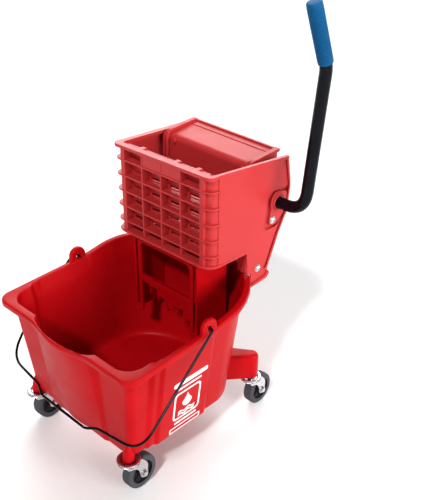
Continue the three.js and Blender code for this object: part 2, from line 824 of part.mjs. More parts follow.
function pressPlate() {
  const { half, face, rear, bottom, foldZ, rearZ } = PRESS;
  const inner = half - WALL + 1;
  const skin = plateYZ(
    [
      [face, bottom],
      [face, foldZ, 6],
      [rear, rearZ],
      [rear, rearZ - WALL],
      [face + WALL, foldZ - WALL, 5],
      [face + WALL, bottom],
    ],
    -inner,
    inner,
  );
  const ridge = box(-inner, inner, rear - 24, rear - 20, rearZ - 5, rearZ + 0.5);
  const lip = box(-inner, inner, rear - 4, rear, rearZ - 12, rearZ + 3);
  const ribs = PRESS.ribs.map((x) => box(x - 2, x + 2, face + 2, SHAFT.y - 20, bottom + 8, foldZ - 2));
  const tabs = PRESS.tabs.map((x) => box(x - 6, x + 6, face - 7, face + 1, foldZ - 14, foldZ - 8));
  const side = cheek();
  return join(skin, ridge, lip, ...ribs, ...tabs, side, mirrored(side));
}

const TOOTH_PITCH = (2 * Math.PI * GEAR.pitchRadius) / GEAR.teeth;

// Rack teeth point up under the shaft, a gap between teeth standing right below it.
function pressRack() {
  const pitchLine = SHAFT.z - GEAR.pitchRadius;
  const root = pitchLine - GEAR.dedendum;
  const tip = pitchLine + GEAR.addendum;
  const rearEnd = SHAFT.y + RACK.travel + 5;
  const points = [[PRESS.cheekFront + 6, RACK.bottom], [rearEnd, RACK.bottom], [rearEnd, root]];
  const last = Math.floor((rearEnd - SHAFT.y) / TOOTH_PITCH - 0.75);
  for (let k = last; k >= -2; k--) {
    const middle = SHAFT.y + (k + 0.5) * TOOTH_PITCH;
    points.push([middle + 4.4, root], [middle + 1.6, tip], [middle - 1.6, tip], [middle - 4.4, root]);
  }
  points.push([PRESS.cheekFront + 6, root]);
  return plateYZ(points, RACK.inner, RACK.inner + RACK.width);
}

function pinion() {
  const { teeth, pitchRadius, addendum, dedendum, halfThickness, inner, width } = GEAR;
  const points = [];
  for (let k = 0; k < teeth; k++) {
    const middle = -Math.PI / 2 + (k * 2 * Math.PI) / teeth;
    const spots = [
      [pitchRadius - dedendum, -halfThickness - 1.4],
      [pitchRadius + addendum, -halfThickness + 1.5],
      [pitchRadius + addendum, halfThickness - 1.5],
      [pitchRadius - dedendum, halfThickness + 1.4],
    ];
    for (const [radius, across] of spots) {
      const angle = middle + across / radius;
      points.push([SHAFT.y + radius * Math.cos(angle), SHAFT.z + radius * Math.sin(angle)]);
    }
  }
  const blank = plateYZ(points, inner, inner + width);
  return cut(blank, rodX(inner - 5, inner + width + 5, SHAFT.y, SHAFT.z, SHAFT.radius + GAP));
}

add("press_plate", pressPlate(), red);
add("press_rack_right", pressRack(), red);
add("press_rack_left", mirrored(pressRack()), red);

// ---------- lever ----------
function leverPoints() {
  const { x, lean, nod, lower, upper } = LEVER;
  const bend = [x, SHAFT.y + lower * Math.sin(lean), SHAFT.z + lower * Math.cos(lean)];
  const tip = [x, bend[1] + upper * Math.sin(nod), bend[2] + upper * Math.cos(nod)];
  return { bend, tip };
}

function leverTube() {
  const { bend, tip } = leverPoints();
  const start = [-BASKET.half - 14, SHAFT.y, SHAFT.z];
  const elbow = [LEVER.x, SHAFT.y, SHAFT.z, 44];
  const path = roundedPath([start, elbow, [...bend, 9], tip], 6);
  const beyond = (end, next) => end.clone().sub(next).setLength(5).add(end);
  const bore = [beyond(path[0], path[1]), ...path, beyond(path.at(-1), path.at(-2))];
  return cut(sweep(path, SHAFT.radius, 14), sweep(bore, SHAFT.radius - LEVER.tubeWall, 10));
}

function leverGrip() {
  const { tip } = leverPoints();
  const sides = 18;
  const bore = SHAFT.radius + GAP;
  const cap = 4;
  const profile = [
    [0, 0.5],
    [bore, 0.5],
    [bore, -LEVER.gripLength],
    [LEVER.gripRadius, -LEVER.gripLength],
    [LEVER.gripRadius, cap - 2],
    [LEVER.gripRadius - 2, cap],
    [0, cap],
  ];
  const sleeve = turned(profile, sides);
  sleeve.rotateX(-LEVER.nod).translate(...tip);
  return solidOf(sleeve);
}

function shaftRing(x0, x1) {
  const hole = rodX(x0 - 2, x1 + 2, SHAFT.y, SHAFT.z, SHAFT.radius + GAP, 20);
  return cut(rodX(x0, x1, SHAFT.y, SHAFT.z, BUSH.radius, 20), hole);
}

function shaftRetainer() {
  const end = -BASKET.half - 14;
  const cup = rodX(end - 4, end + 8, SHAFT.y, SHAFT.z, SHAFT.radius + 4);
  return cut(cup, rodX(end - GAP, end + 12, SHAFT.y, SHAFT.z, SHAFT.radius + GAP));
}

add("lever_tube", leverTube(), black);
add("lever_grip", leverGrip(), blue);
add("pinion_right", pinion(), black);
add("pinion_left", mirrored(pinion()), black);
add("shaft_retainer", shaftRetainer(), black);

// ---------- bearings and screws ----------
function bearingPlate() {
  const outer = BASKET.half;
  const floorX = outer - POCKET_DEPTH + GAP;
  const arm = plateYZ(BEARING_ARM, floorX, floorX + ARM_THICKNESS);
  return cut(arm, rodX(outer - 20, outer + 20, BEARING_SCREW.y, BEARING_SCREW.z, SCREW.hole, 10));
}

function boredForShaft(solid) {
  return cut(solid, rodX(-200, 200, SHAFT.y, SHAFT.z, BUSH.hole, 24));
}

function screw({ y, z }, seatX) {
  const head = turned(
    [
      [0, -SCREW.length],
      [SCREW.shank, -SCREW.length],
      [SCREW.shank, GAP],
      [SCREW.head, GAP],
      [SCREW.head - 0.5, SCREW.headHeight - 1.4],
      [SCREW.head - 3, SCREW.headHeight],
      [0, SCREW.headHeight],
    ],
    12,
  );
  return solidOf(head.rotateY(Math.PI / 2).translate(seatX, y, z));
}

const armFace = BASKET.half - POCKET_DEPTH + GAP + ARM_THICKNESS;
add("bearing_plate_right", boredForShaft(flared(bearingPlate())), red);
add("bearing_plate_left", boredForShaft(mirrored(bearingPlate())), red);
add("shaft_bush_right", shaftRing(BASKET.half - 2, BASKET.half - 2 + BUSH.length), red);
add("shaft_bush_left", shaftRing(-BASKET.half - 4, -BASKET.half - 4 + BUSH.length), red);
add("bearing_screw_right", flared(screw(BEARING_SCREW, armFace)), steel);
add("bearing_screw_left", mirrored(screw(BEARING_SCREW, armFace)), steel);
add("leg_screw_right", flared(screw(LEG_SCREW, BASKET.half)), steel);
add("leg_screw_left", mirrored(screw(LEG_SCREW, BASKET.half)), steel);

// The origin is the middle of the floor under the whole object.
const limits = new THREE.Box3().setFromObject(object, true);
object.position.set(-(limits.min.x + limits.max.x) / 2, -(limits.min.y + limits.max.y) / 2, -limits.min.z);

export default object;
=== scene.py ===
# Looks of the mop bucket with its side-press wringer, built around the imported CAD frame.
# Shapes are worked out in millimetres in the part's design axes; place() puts them in metres.
import math

import bmesh
import bpy
from mathutils import Matrix, Vector


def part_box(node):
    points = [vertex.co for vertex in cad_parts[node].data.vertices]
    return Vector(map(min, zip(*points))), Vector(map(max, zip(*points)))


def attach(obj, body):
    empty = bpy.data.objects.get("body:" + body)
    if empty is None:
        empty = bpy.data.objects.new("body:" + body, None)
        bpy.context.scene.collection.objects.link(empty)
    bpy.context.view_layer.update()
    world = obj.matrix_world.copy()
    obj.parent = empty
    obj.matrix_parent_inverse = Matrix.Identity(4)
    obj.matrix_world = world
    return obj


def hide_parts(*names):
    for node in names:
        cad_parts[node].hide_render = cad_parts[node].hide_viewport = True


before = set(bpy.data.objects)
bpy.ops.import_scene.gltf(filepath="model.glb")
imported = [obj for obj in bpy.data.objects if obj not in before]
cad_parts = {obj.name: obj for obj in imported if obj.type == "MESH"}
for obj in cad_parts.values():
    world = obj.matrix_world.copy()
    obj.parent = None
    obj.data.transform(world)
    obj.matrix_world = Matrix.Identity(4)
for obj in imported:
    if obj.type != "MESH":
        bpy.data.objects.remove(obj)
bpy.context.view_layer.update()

# ---------- design axes, found from the frame ----------
TUB_LOW, TUB_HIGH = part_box("bucket_tub")
RIM_REAR = 170.0
MIDDLE_X = (TUB_LOW.x + TUB_HIGH.x) / 2 * 1000
SHIFT_Y = TUB_HIGH.y * 1000 - RIM_REAR


def place(point):
    return Vector(((point[0] + MIDDLE_X) / 1000, (point[1] + SHIFT_Y) / 1000, point[2] / 1000))


# ---------- driving dimensions, in millimetres ----------
BASE = dict(half=166.0, front=-244.0, rear=112.0, radius=24.0)
WALL = dict(half=197.0, front=-265.0, rear=159.0, radius=24.0)
RIM = dict(half=210.0, front=-275.0, rear=RIM_REAR, radius=28.0)
TUB_BOTTOM = 90.0
TUB_THICKNESS = 4.0
PANEL_RISE = 6.0
REAR_START = -4.0
REAR_POWER = 1.9
LIP_HALF = 92.0
EAR_Y, EAR_Z = -69.0, 338.0
CASTERS = {
    "front_left": (-153.0, -239.0),
    "front_right": (153.0, -239.0),
    "rear_left": (-154.0, 126.0),
    "rear_right": (154.0, 126.0),
}
CASTER_TURN = math.radians(2)
TRAIL = 26.0
WHEEL_RADIUS = 37.5
BASKET_HALF = 141.0
BASKET_FRONT = 1.0
BASKET_BOTTOM = 409.0
WALL_START = 24.0
FLARE = math.radians(3)
SHAFT_Y, SHAFT_Z, SHAFT_RADIUS = 195.0, 498.0, 12.7
BUSH_HOLE = 17.3


# ---------- shells: (points, faces) in millimetres ----------
def smoothstep(value, low, high):
    t = min(1.0, max(0.0, (value - low) / (high - low)))
    return t * t * (3 - 2 * t)


def loft(rings, caps=True):
    """Closed skin over rings of equal length, with a flat cap at each end."""
    count = len(rings[0])
    points = [p for ring in rings for p in ring]
    faces = []
    for r in range(len(rings) - 1):
        for k in range(count):
            n = (k + 1) % count
            faces.append((r * count + k, r * count + n, (r + 1) * count + n, (r + 1) * count + k))
    if caps:
        faces.append(tuple(reversed(range(count))))
        faces.append(tuple(range((len(rings) - 1) * count, len(rings) * count)))
    return points, faces


def looped(rings):
    """Closed skin whose last ring joins its first, like a tyre."""
    points, faces = loft(rings, caps=False)
    count = len(rings[0])
    last = (len(rings) - 1) * count
    for k in range(count):
        n = (k + 1) % count
        faces.append((last + k, last + n, n, k))
    return points, faces


def outline(points, steps=6):
    """Corner points [a, b, radius] as a list of 2-D points with the corners rounded."""
    path = []
    for i, (a, b, *radius) in enumerate(points):
        corner = Vector((a, b))
        if not radius:
            path.append(corner)
            continue
        before = Vector(points[i - 1][:2]) - corner
        after = Vector(points[(i + 1) % len(points)][:2]) - corner
        start = corner + before.normalized() * radius[0]
        end = corner + after.normalized() * radius[0]
        for k in range(steps + 1):
            t = k / steps
            path.append(start * (1 - t) ** 2 + corner * 2 * t * (1 - t) + end * t * t)
    return path


AXES = {
    "x": lambda a, b, h: Vector((h, a, b)),
    "y": lambda a, b, h: Vector((a, h, b)),
    "z": lambda a, b, h: Vector((a, b, h)),
}


def prism(points, axis, low, high, steps=6):
    """The outline in the plane across the axis, from low to high along it."""
    path = outline(points, steps)
    put = AXES[axis]
    return loft([[put(p.x, p.y, low) for p in path], [put(p.x, p.y, high) for p in path]])


def block(x0, x1, y0, y1, z0, z1):
    return prism([(x0, y0), (x1, y0), (x1, y1), (x0, y1)], "z", z0, z1)


def lathe(profile, segments=48, axis="z", centre=(0, 0, 0)):
    """A closed profile of (radius, height) points turned about an axis; radius 0 is a pole."""
    rings = []
    for radius, height in profile:
        ring = []
        for k in range(segments):
            angle = 2 * math.pi * k / segments
            a, b = radius * math.cos(angle), radius * math.sin(angle)
            ring.append(AXES[axis](a, b, height) + Vector(centre))
        rings.append(ring)
    if profile[0] == profile[-1]:
        return looped(rings[:-1])
    return loft(rings)


def rounded_path(points, steps=10):
    """Straight legs through [x, y, z, setback] points with their corners rounded."""
    corners = [Vector(p[:3]) for p in points]
    path = [corners[0]]
    for i in range(1, len(points) - 1):
        corner = corners[i]
        start = corner + (corners[i - 1] - corner).normalized() * points[i][3]
        end = corner + (corners[i + 1] - corner).normalized() * points[i][3]
        for k in range(steps + 1):
            t = k / steps
            path.append(start * (1 - t) ** 2 + corner * 2 * t * (1 - t) + end * t * t)
    path.append(corners[-1])
    return path


def sweep(path, radius, sides=20):
    """A round bar along a path, with its ends slightly rounded."""
    rings = []
    across = None
    for i, point in enumerate(path):
        along = (path[min(i + 1, len(path) - 1)] - path[max(i - 1, 0)]).normalized()
        if across is None:
            across = Vector((0, 0, 1)).cross(along)
            if across.length < 0.1:
                across = Vector((1, 0, 0)).cross(along)
        across = (across - along * across.dot(along)).normalized()
        up = along.cross(across)
        ring = []
        for k in range(sides):
            angle = 2 * math.pi * k / sides
            ring.append(point + (across * math.cos(angle) + up * math.sin(angle)) * radius)
        rings.append(ring)
    return loft(rings)


def to_bmesh(shell):
    points, faces = shell
    bm = bmesh.new()
    verts = [bm.verts.new(p) for p in points]
    for face in faces:
        bm.faces.new([verts[i] for i in face])
    bmesh.ops.remove_doubles(bm, verts=bm.verts, dist=0.001)
    bmesh.ops.recalc_face_normals(bm, faces=bm.faces)
    return bm


def from_bmesh(bm):
    bm.verts.index_update()
    shell = [v.co.copy() for v in bm.verts], [tuple(v.index for v in f.verts) for f in bm.faces]
    bm.free()
    return shell


def softened(shell, radius, segments=2, sharp=28):
    """The shell with every edge sharper than that many degrees rounded off."""
    bm = to_bmesh(shell)
    limit = math.radians(sharp)
    edges = [e for e in bm.edges if e.is_manifold and e.calc_face_angle() > limit]
    bmesh.ops.bevel(
        bm, geom=edges, offset=radius, segments=segments, profile=0.5, affect="EDGES", clamp_overlap=True
    )
    return from_bmesh(bm)


def moved(shell, matrix):
    points, faces = shell
    return [matrix @ Vector(p) for p in points], faces


def mirrored(shell):
    points, faces = shell
    return [Vector((-p[0], p[1], p[2])) for p in points], [tuple(reversed(f)) for f in faces]


def both(shell):
    return [shell, mirrored(shell)]


def carved(shell, *cutters):
    """The shell with the cutters taken out of it."""
    def temporary(part):
        bm = to_bmesh(part)
        mesh = bpy.data.meshes.new("cut")
        bm.to_mesh(mesh)
        bm.free()
        thing = bpy.data.objects.new("cut", mesh)
        bpy.context.scene.collection.objects.link(thing)
        return thing

    body = temporary(shell)
    tools = [temporary(cutter) for cutter in cutters]
    for tool in tools:
        step = body.modifiers.new("cut", "BOOLEAN")
        step.operation = "DIFFERENCE"
        step.solver = "EXACT"
        step.object = tool
    result = body.evaluated_get(bpy.context.evaluated_depsgraph_get()).to_mesh()
    points = [v.co.copy() for v in result.vertices]
    faces = [tuple(p.vertices) for p in result.polygons]
    for thing in [body, *tools]:
        bpy.data.objects.remove(thing)
    return points, faces


def piece(name, shells, material, body, replaces=(), sharp=38, weighted=True):
    """One named object from its shells, riding on a body."""
    bm = bmesh.new()
    for points, faces in shells:
        verts = [bm.verts.new(place(p)) for p in points]
        for face in faces:
            bm.faces.new([verts[i] for i in face])
    bmesh.ops.recalc_face_normals(bm, faces=bm.faces)
    mesh = bpy.data.meshes.new(name)
    bm.to_mesh(mesh)
    bm.free()
    mesh.shade_smooth()
    mesh.set_sharp_from_angle(angle=math.radians(sharp))
    mesh.materials.append(material)
    thing = bpy.data.objects.new(name, mesh)
    bpy.context.scene.collection.objects.link(thing)
    if weighted:
        thing.modifiers.new("even shading", "WEIGHTED_NORMAL").keep_sharp = True
    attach(thing, body)
    if replaces:
        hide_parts(*replaces)
    return thing


# ---------- materials ----------
def new_material(name):
    material = bpy.data.materials.new(name)
    material.use_nodes = True
    nodes, links = material.node_tree.nodes, material.node_tree.links
    return material, nodes, links, nodes["Principled BSDF"]


def noise(nodes, links, scale, detail=2.0):
    where = nodes.new("ShaderNodeTexCoord")
    texture = nodes.new("ShaderNodeTexNoise")
    texture.inputs["Scale"].default_value = scale
    texture.inputs["Detail"].default_value = detail
    links.new(where.outputs["Object"], texture.inputs["Vector"])
    return texture.outputs["Fac"]


def spread(nodes, links, value, low, high):
    """A noise value mapped to a range."""
    mapper = nodes.new("ShaderNodeMapRange")
    mapper.inputs["From Min"].default_value = 0.3
    mapper.inputs["From Max"].default_value = 0.7
    mapper.inputs["To Min"].default_value = low
    mapper.inputs["To Max"].default_value = high
    links.new(value, mapper.inputs["Value"])
    return mapper.outputs["Result"]


def tint(nodes, links, value, dark, light):
    ramp = nodes.new("ShaderNodeValToRGB")
    ramp.color_ramp.elements[0].position = 0.3
    ramp.color_ramp.elements[0].color = (*dark, 1)
    ramp.color_ramp.elements[1].position = 0.7
    ramp.color_ramp.elements[1].color = (*light, 1)
    links.new(value, ramp.inputs["Fac"])
    return ramp.outputs["Color"]


def bump(nodes, links, height, strength, distance, shader):
    node = nodes.new("ShaderNodeBump")
    node.inputs["Strength"].default_value = strength
    node.inputs["Distance"].default_value = distance
    links.new(height, node.inputs["Height"])
    links.new(node.outputs["Normal"], shader.inputs["Normal"])


def moulded(name, dark, light, roughness, grain=900.0, strength=0.12, shine=0.16):
    """Injection-moulded plastic: a fine grain and a slight unevenness of colour and gloss."""
    material, nodes, links, shader = new_material(name)
    links.new(tint(nodes, links, noise(nodes, links, 9.0), dark, light), shader.inputs["Base Color"])
    rough = spread(nodes, links, noise(nodes, links, 35.0, 4.0), roughness - 0.04, roughness + 0.05)
    links.new(rough, shader.inputs["Roughness"])
    bump(nodes, links, noise(nodes, links, grain, 3.0), strength, 0.0002, shader)
    shader.inputs["Specular IOR Level"].default_value = shine
    return material


def metal(name, colour, roughness, grain):
    """Plated steel: a soft grain in the gloss and faint blotches in the colour."""
    material, nodes, links, shader = new_material(name)
    dull = tuple(c * 0.82 for c in colour)
    links.new(tint(nodes, links, noise(nodes, links, 60.0), dull, colour), shader.inputs["Base Color"])
    rough = spread(nodes, links, noise(nodes, links, grain, 4.0), roughness - 0.06, roughness + 0.08)
    links.new(rough, shader.inputs["Roughness"])
    bump(nodes, links, noise(nodes, links, grain * 3, 2.0), 0.06, 0.0002, shader)
    shader.inputs["Metallic"].default_value = 1.0
    return material


def enamel(name, dark, light, roughness):
    """Baked black paint with a slight orange peel."""
    material, nodes, links, shader = new_material(name)
    links.new(tint(nodes, links, noise(nodes, links, 25.0), dark, light), shader.inputs["Base Color"])
    rough = spread(nodes, links, noise(nodes, links, 120.0), roughness - 0.04, roughness + 0.06)
    links.new(rough, shader.inputs["Roughness"])
    bump(nodes, links, noise(nodes, links, 350.0), 0.08, 0.0003, shader)
    shader.inputs["Specular IOR Level"].default_value = 0.18
    return material


RED = moulded("red_plastic", (0.42, 0.002, 0.005), (0.46, 0.004, 0.008), 0.34, shine=0.10)
# The wringer's paler red is partly the wringer's own tone and partly painted sheen: the salmon look of its
# brightly lit faces is put into the base colour.
PALE_AND_LIT_RED = moulded("pale_and_lit_red_plastic", (0.47, 0.036, 0.038), (0.51, 0.041, 0.043), 0.36, shine=0.22)
ZINC = metal("zinc_plate", (0.72, 0.72, 0.74), 0.26, 400.0)
BLACK_ENAMEL = enamel("black_enamel", (0.0022, 0.0026, 0.005), (0.0035, 0.004, 0.008), 0.22)
BLACK_PLASTIC = moulded("black_plastic", (0.008, 0.008, 0.009), (0.014, 0.014, 0.015), 0.45)
BLUE_GRIP = moulded("blue_grip", (0.0005, 0.085, 0.21), (0.001, 0.105, 0.25), 0.48, 1400.0, 0.2)
GREY_RUBBER = moulded("grey_rubber", (0.055, 0.055, 0.062), (0.08, 0.08, 0.09), 0.62, 1200.0, 0.3)
WHITE_INK = moulded("white_ink", (0.80, 0.80, 0.79), (0.86, 0.86, 0.85), 0.45, 1500.0, 0.08)


# ---------- bucket ----------
FRONT_STEPS = 40
CORNER_STEPS = 12
REAR_STEPS = 40


def side_stations():
    """Y places along a straight side, closer together at the raised panel's two bevels."""
    spans = [(-214, -187, 8), (-187, -173, 8), (-173, -52, 12), (-52, -34, 9), (-34, -5, 4)]
    return [low + (high - low) * k / n for low, high, n in spans for k in range(n)]


def tub_plan(half, front, rear, radius):
    """One outline of the tub: (x, y, outward x, outward y, front share 0..1 or None)."""
    flat = half - radius
    right = [(flat * k / FRONT_STEPS, front, 0.0, -1.0) for k in range(FRONT_STEPS)]
    for k in range(CORNER_STEPS):
        a = math.pi / 2 * k / CORNER_STEPS
        nx, ny = math.sin(a), -math.cos(a)
        right.append((flat + radius * nx, front + radius + radius * ny, nx, ny))
    first = front + radius
    for y in side_stations():
        right.append((half, max(y, first + (y + 214) * 0.02), 1.0, 0.0))
    for k in range(REAR_STEPS + 1):
        a = math.pi / 2 * k / REAR_STEPS
        c, s = max(0.0, math.cos(a)), math.sin(a)
        x = half * c ** (2 / REAR_POWER)
        y = REAR_START + (rear - REAR_START) * s ** (2 / REAR_POWER)
        right.append((x, y, c, s))
    left = [(-x, y, -nx, ny) for x, y, nx, ny in right[-2:0:-1]]
    return right + left


def at_front(nx, ny):
    return ny < -0.999 and abs(nx) < 0.001


def corner_share(x, y, nx, ny):
    """1 round the front corners, where the flange is wide, 0 elsewhere."""
    if y > -190:
        return 0.0
    if at_front(nx, ny):
        return smoothstep(abs(x), LIP_HALF - 8, LIP_HALF + 4)
    return 1 - smoothstep(y, -205, -196)


def panel_share(y, nx):
    """1 over the raised side panel."""
    if abs(nx) < 0.999:
        return 0.0
    return smoothstep(y, -185, -176) * (1 - smoothstep(y, -49, -38))


def lip_share(x, half):
    """The pouring lip's swelling across the front."""
    return max(0.0, 1 - (abs(x) / half) ** 2.2)


def rim_height(x, y, nx, ny):
    slope = 12 * min(1.0, max(0.0, (y + 272) / 200))
    dip = 3 * (1 - smoothstep(abs(x), LIP_HALF - 30, LIP_HALF)) if at_front(nx, ny) else 0.0
    return 316 - dip + slope + 24 * smoothstep(y, -90, 90)


def wall_ring(t, push, panel=PANEL_RISE):
    """The wall's outline at height share t (0 floor, 1 under the rim), moved out by push millimetres."""
    plan = {key: BASE[key] + (WALL[key] - BASE[key]) * t for key in BASE}
    belly_half = LIP_HALF * math.sqrt(1 - (1 - min(1.0, t + 0.03)) ** 3)
    belly = 3 + 17 * t
    ring = []
    for x, y, nx, ny in tub_plan(**plan):
        out = push + panel * panel_share(y, nx) - (4 + 5 * t) * corner_share(x, y, nx, ny)
        bulge = belly * lip_share(x, belly_half) if at_front(nx, ny) else 0.0
        top = rim_height(x, y, nx, ny)
        z = TUB_BOTTOM + (top - TUB_BOTTOM) * t
        ring.append(Vector((x + out * nx, y + out * ny - bulge, z)))
    return ring


def rim_ring(inset, drop):
    """An outline of the rim flange, moved in and down."""
    ring = []
    for x, y, nx, ny in tub_plan(**RIM):
        bulge = 13 * math.cos(math.pi / 2 * min(1.0, abs(x) / LIP_HALF)) ** 2 if at_front(nx, ny) else 0.0
        z = rim_height(x, y, nx, ny) - drop
        ring.append(Vector((x - inset * nx, y - inset * ny - bulge, z)))
    return ring


def lifted(ring, z):
    return [Vector((p.x, p.y, z)) for p in ring]


def mouth_ring(inset, drop):
    """The flange's inner edge: wide round the front corners, narrow over the lip."""
    ring = []
    for x, y, nx, ny in tub_plan(**{**WALL, "radius": 46.0}):
        out = -inset - 2 - 7 * corner_share(x, y, nx, ny) + 2 * panel_share(y, nx)
        bulge = 18 * lip_share(x, LIP_HALF) if at_front(nx, ny) else 0.0
        z = rim_height(x, y, nx, ny) - drop
        ring.append(Vector((x + out * nx, y + out * ny - bulge, z)))
    return ring


def tub_shell():
    bottom = TUB_BOTTOM
    rings = [
        lifted(wall_ring(0, -9), bottom),
        lifted(wall_ring(0, -5), bottom),
        lifted(wall_ring(0, -2.2), bottom + 1),
        lifted(wall_ring(0, -0.6), bottom + 3),
    ]
    rings += [wall_ring(t, 0) for t in (0.025, 0.06, 0.12, 0.2, 0.3, 0.4, 0.5, 0.6, 0.7, 0.8, 0.88, 0.95)]
    rings += [
        rim_ring(3.4, 3.5),
        rim_ring(3.0, 4.5),
        rim_ring(3.0, 11.2),
        rim_ring(2.2, 12),
        rim_ring(0.8, 12),
        rim_ring(0, 11.2),
        rim_ring(0, 3.2),
        rim_ring(0.5, 1.4),
        rim_ring(1.5, 0.4),
        rim_ring(3.2, 0),
        mouth_ring(-2.6, 0),
        mouth_ring(-1.0, 0.5),
        mouth_ring(0, 2.6),
        mouth_ring(0.6, 9),
    ]
    thick = -TUB_THICKNESS
    rings += [wall_ring(t, thick, 0) for t in (0.9, 0.8, 0.7, 0.6, 0.5, 0.4, 0.3, 0.2, 0.12, 0.08)]
    rings += [
        lifted(wall_ring(0.04, thick - 2, 0), bottom + 7.5),
        lifted(wall_ring(0, thick - 5, 0), bottom + 4.8),
        lifted(wall_ring(0, thick - 10, 0), bottom + 4),
    ]
    return loft(rings)


def tub_core():
    """The tub's hollow and half its wall, to trim what is joined on from outside."""
    half = -TUB_THICKNESS / 2
    rings = [lifted(wall_ring(0, half - 4, 0), TUB_BOTTOM + 2), wall_ring(0.03, half, 0)]
    return loft(rings + [wall_ring(t, half, 0) for t in (0.12, 0.3, 0.5)])


def ear_shell():
    """The arch that carries the bail: a thick plate with a keyhole through it."""
    outer, inner = [], []
    sides = 64
    for k in range(sides):
        a = 2 * math.pi * k / sides
        c, s = math.cos(a), math.sin(a)
        reach = 20.0
        if s < 0:
            reach = min(24 / max(-s, 1e-6), (20 + 5 * (-s) ** 2) / max(abs(c), 1e-6))
        slot = 9.5 * math.exp(-((a - 1.5 * math.pi) / 0.22) ** 2)
        outer.append((EAR_Y + reach * c, EAR_Z + reach * s))
        inner.append((EAR_Y + (4.6 + slot) * c, EAR_Z + (4.6 + slot) * s))
    low, high = RIM["half"] - 10, RIM["half"] - 0.6

    def ring(loop, x, grow=0.0):
        scale = 1 + grow
        return [Vector((x, EAR_Y + (y - EAR_Y) * scale, EAR_Z + (z - EAR_Z) * scale)) for y, z in loop]

    rings = [
        ring(outer, low, -0.12),
        ring(outer, low + 0.7, -0.03),
        ring(outer, low + 2.4),
        ring(outer, high - 2.4),
        ring(outer, high - 0.7, -0.03),
        ring(outer, high, -0.12),
        ring(inner, high, 0.45),
        ring(inner, high - 1.4, 0.0),
        ring(inner, low + 1.4, 0.0),
        ring(inner, low, 0.45),
    ]
    return looped(rings)


def corner_boss():
    """The cone under each front corner that the caster's stem goes up into."""
    x, y = CASTERS["front_right"]
    profile = [(0, 83.2), (11.4, 83.2), (12.4, 84.2), (12.8, 88), (12.0, 95), (8, 110), (4, 122), (0, 126)]
    return carved(lathe(profile, 48, "z", (x, y, 0)), tub_core())


def foot_shell():
    """The rear foot: a tall narrow arm with a rounded end and a wide soft edge along its top."""
    root = Vector((80, 60))
    end = Vector(CASTERS["rear_right"])
    along = (end - root).normalized()
    side = Vector((-along.y, along.x))

    def ring(grow, z):
        half_root, half_end = 31 + grow, 16 + grow
        points = [root - side * half_root]
        for k in range(21):
            a = -math.pi / 2 + math.pi * k / 20
            points.append(end + along * half_end * math.cos(a) + side * half_end * math.sin(a))
        points.append(root + side * half_root)
        return [Vector((p.x, p.y, z)) for p in points]

    top = 150.0
    rings = [ring(-2, 89.2), ring(-0.6, 89.6), ring(0, 91), ring(-0.6, top - 11)]
    for k in range(1, 8):
        a = math.pi / 2 * k / 7
        rings.append(ring(-0.6 - 8 * (1 - math.cos(a)), top - 11 + 11 * math.sin(a)))
    rings.append(ring(-12, top + 0.2))
    return carved(loft(rings), tub_core())


def bail_shell():
    """The wire in its plane through the ears; its middle is stepped down between two kinks."""
    hang = math.radians(41)
    outer, bottom, shelf = 217.5, 287.5, 274.0
    route = [
        (194, 0, 0), (outer, 0, 7), (outer + 5.5, 262, 45), (108, shelf, 7), (82, bottom, 7),
        (-60, bottom, 7), (-86, shelf, 7), (-196, 262, 42), (3 - outer, 190, 20), (-outer, 0, 7),
        (-194, 0, 0),
    ]
    points = [(x, EAR_Y - v * math.cos(hang), EAR_Z - v * math.sin(hang), r) for x, v, r in route]
    return sweep(rounded_path(points, 12), 2.6, 14)


def build_bucket():
    cone = corner_boss()
    shells = [tub_shell(), *both(ear_shell()), *both(cone), *both(foot_shell())]
    piece("tub", shells, RED, "bucket", ["bucket_tub"], sharp=50, weighted=False)
    piece("bail", [bail_shell()], BLACK_ENAMEL, "bail", ["bail_wire"], weighted=False)


# ---------- casters, built about the swivel axis and trailing towards +Y ----------
def caster_ring():
    profile = [
        (7.0, 80.6), (13.2, 80.6), (15.0, 81.6), (17.4, 84.2), (19.8, 85.5), (22.6, 85.6), (23.9, 84.8),
        (24.1, 83.4), (23.2, 82.4), (22.2, 81.9), (22.2, 81.4), (23.2, 81.0), (24.0, 80.2), (24.0, 78.7),
        (22.8, 77.4), (7.0, 77.3), (7.0, 80.6),
    ]
    return lathe(profile, 56)


def fork_leg():
    """One pressed side plate: broad under the ring, curving back to a round eye at the axle."""
    points = [
        (-17, 78.6, 2), (22, 78.6, 3), (TRAIL + 11, 60, 10), (TRAIL + 8.5, WHEEL_RADIUS - 9, 8),
        (TRAIL - 8.5, WHEEL_RADIUS - 9, 8), (TRAIL - 15, 62, 16), (-16, 71, 5),
    ]
    plate = prism(points, "x", 13.5, 16.0, 8)
    hem = prism([(-15, 74), (20, 74), (20, 78.8), (-15, 78.8)], "x", 12.5, 16.4)
    return [softened(plate, 0.7), softened(hem, 1.2, 3)]


def caster_fork():
    bridge = softened(block(-14.5, 14.5, -15, 20, 76.4, 78.4), 0.8)
    bridge = carved(bridge, lathe([(0, 70), (6.9, 70), (6.9, 84), (0, 84)], 32))
    legs = [shell for part in fork_leg() for shell in both(part)]
    return [caster_ring(), bridge, *legs]


def on_axle(profile, segments):
    return lathe(profile, segments, "x", (0, TRAIL, WHEEL_RADIUS))


def hexagon(radius, low, high):
    points = [
        (TRAIL + radius * math.cos(k * math.pi / 3), WHEEL_RADIUS + radius * math.sin(k * math.pi / 3))
        for k in range(6)
    ]
    return softened(prism(points, "x", low, high), 0.5)


def caster_axle():
    bolt = on_axle([(0, -21.5), (3.6, -21.5), (4.0, -21), (4.0, 19.5), (0, 19.5)], 24)
    washers = [on_axle([(4, x), (8.2, x), (8.2, x + 1.2), (4, x + 1.2), (4, x)], 32) for x in (16.1, -17.3)]
    return [bolt, hexagon(6.4, 17.2, 20.6), hexagon(6.4, -20.6, -17.2), *washers]


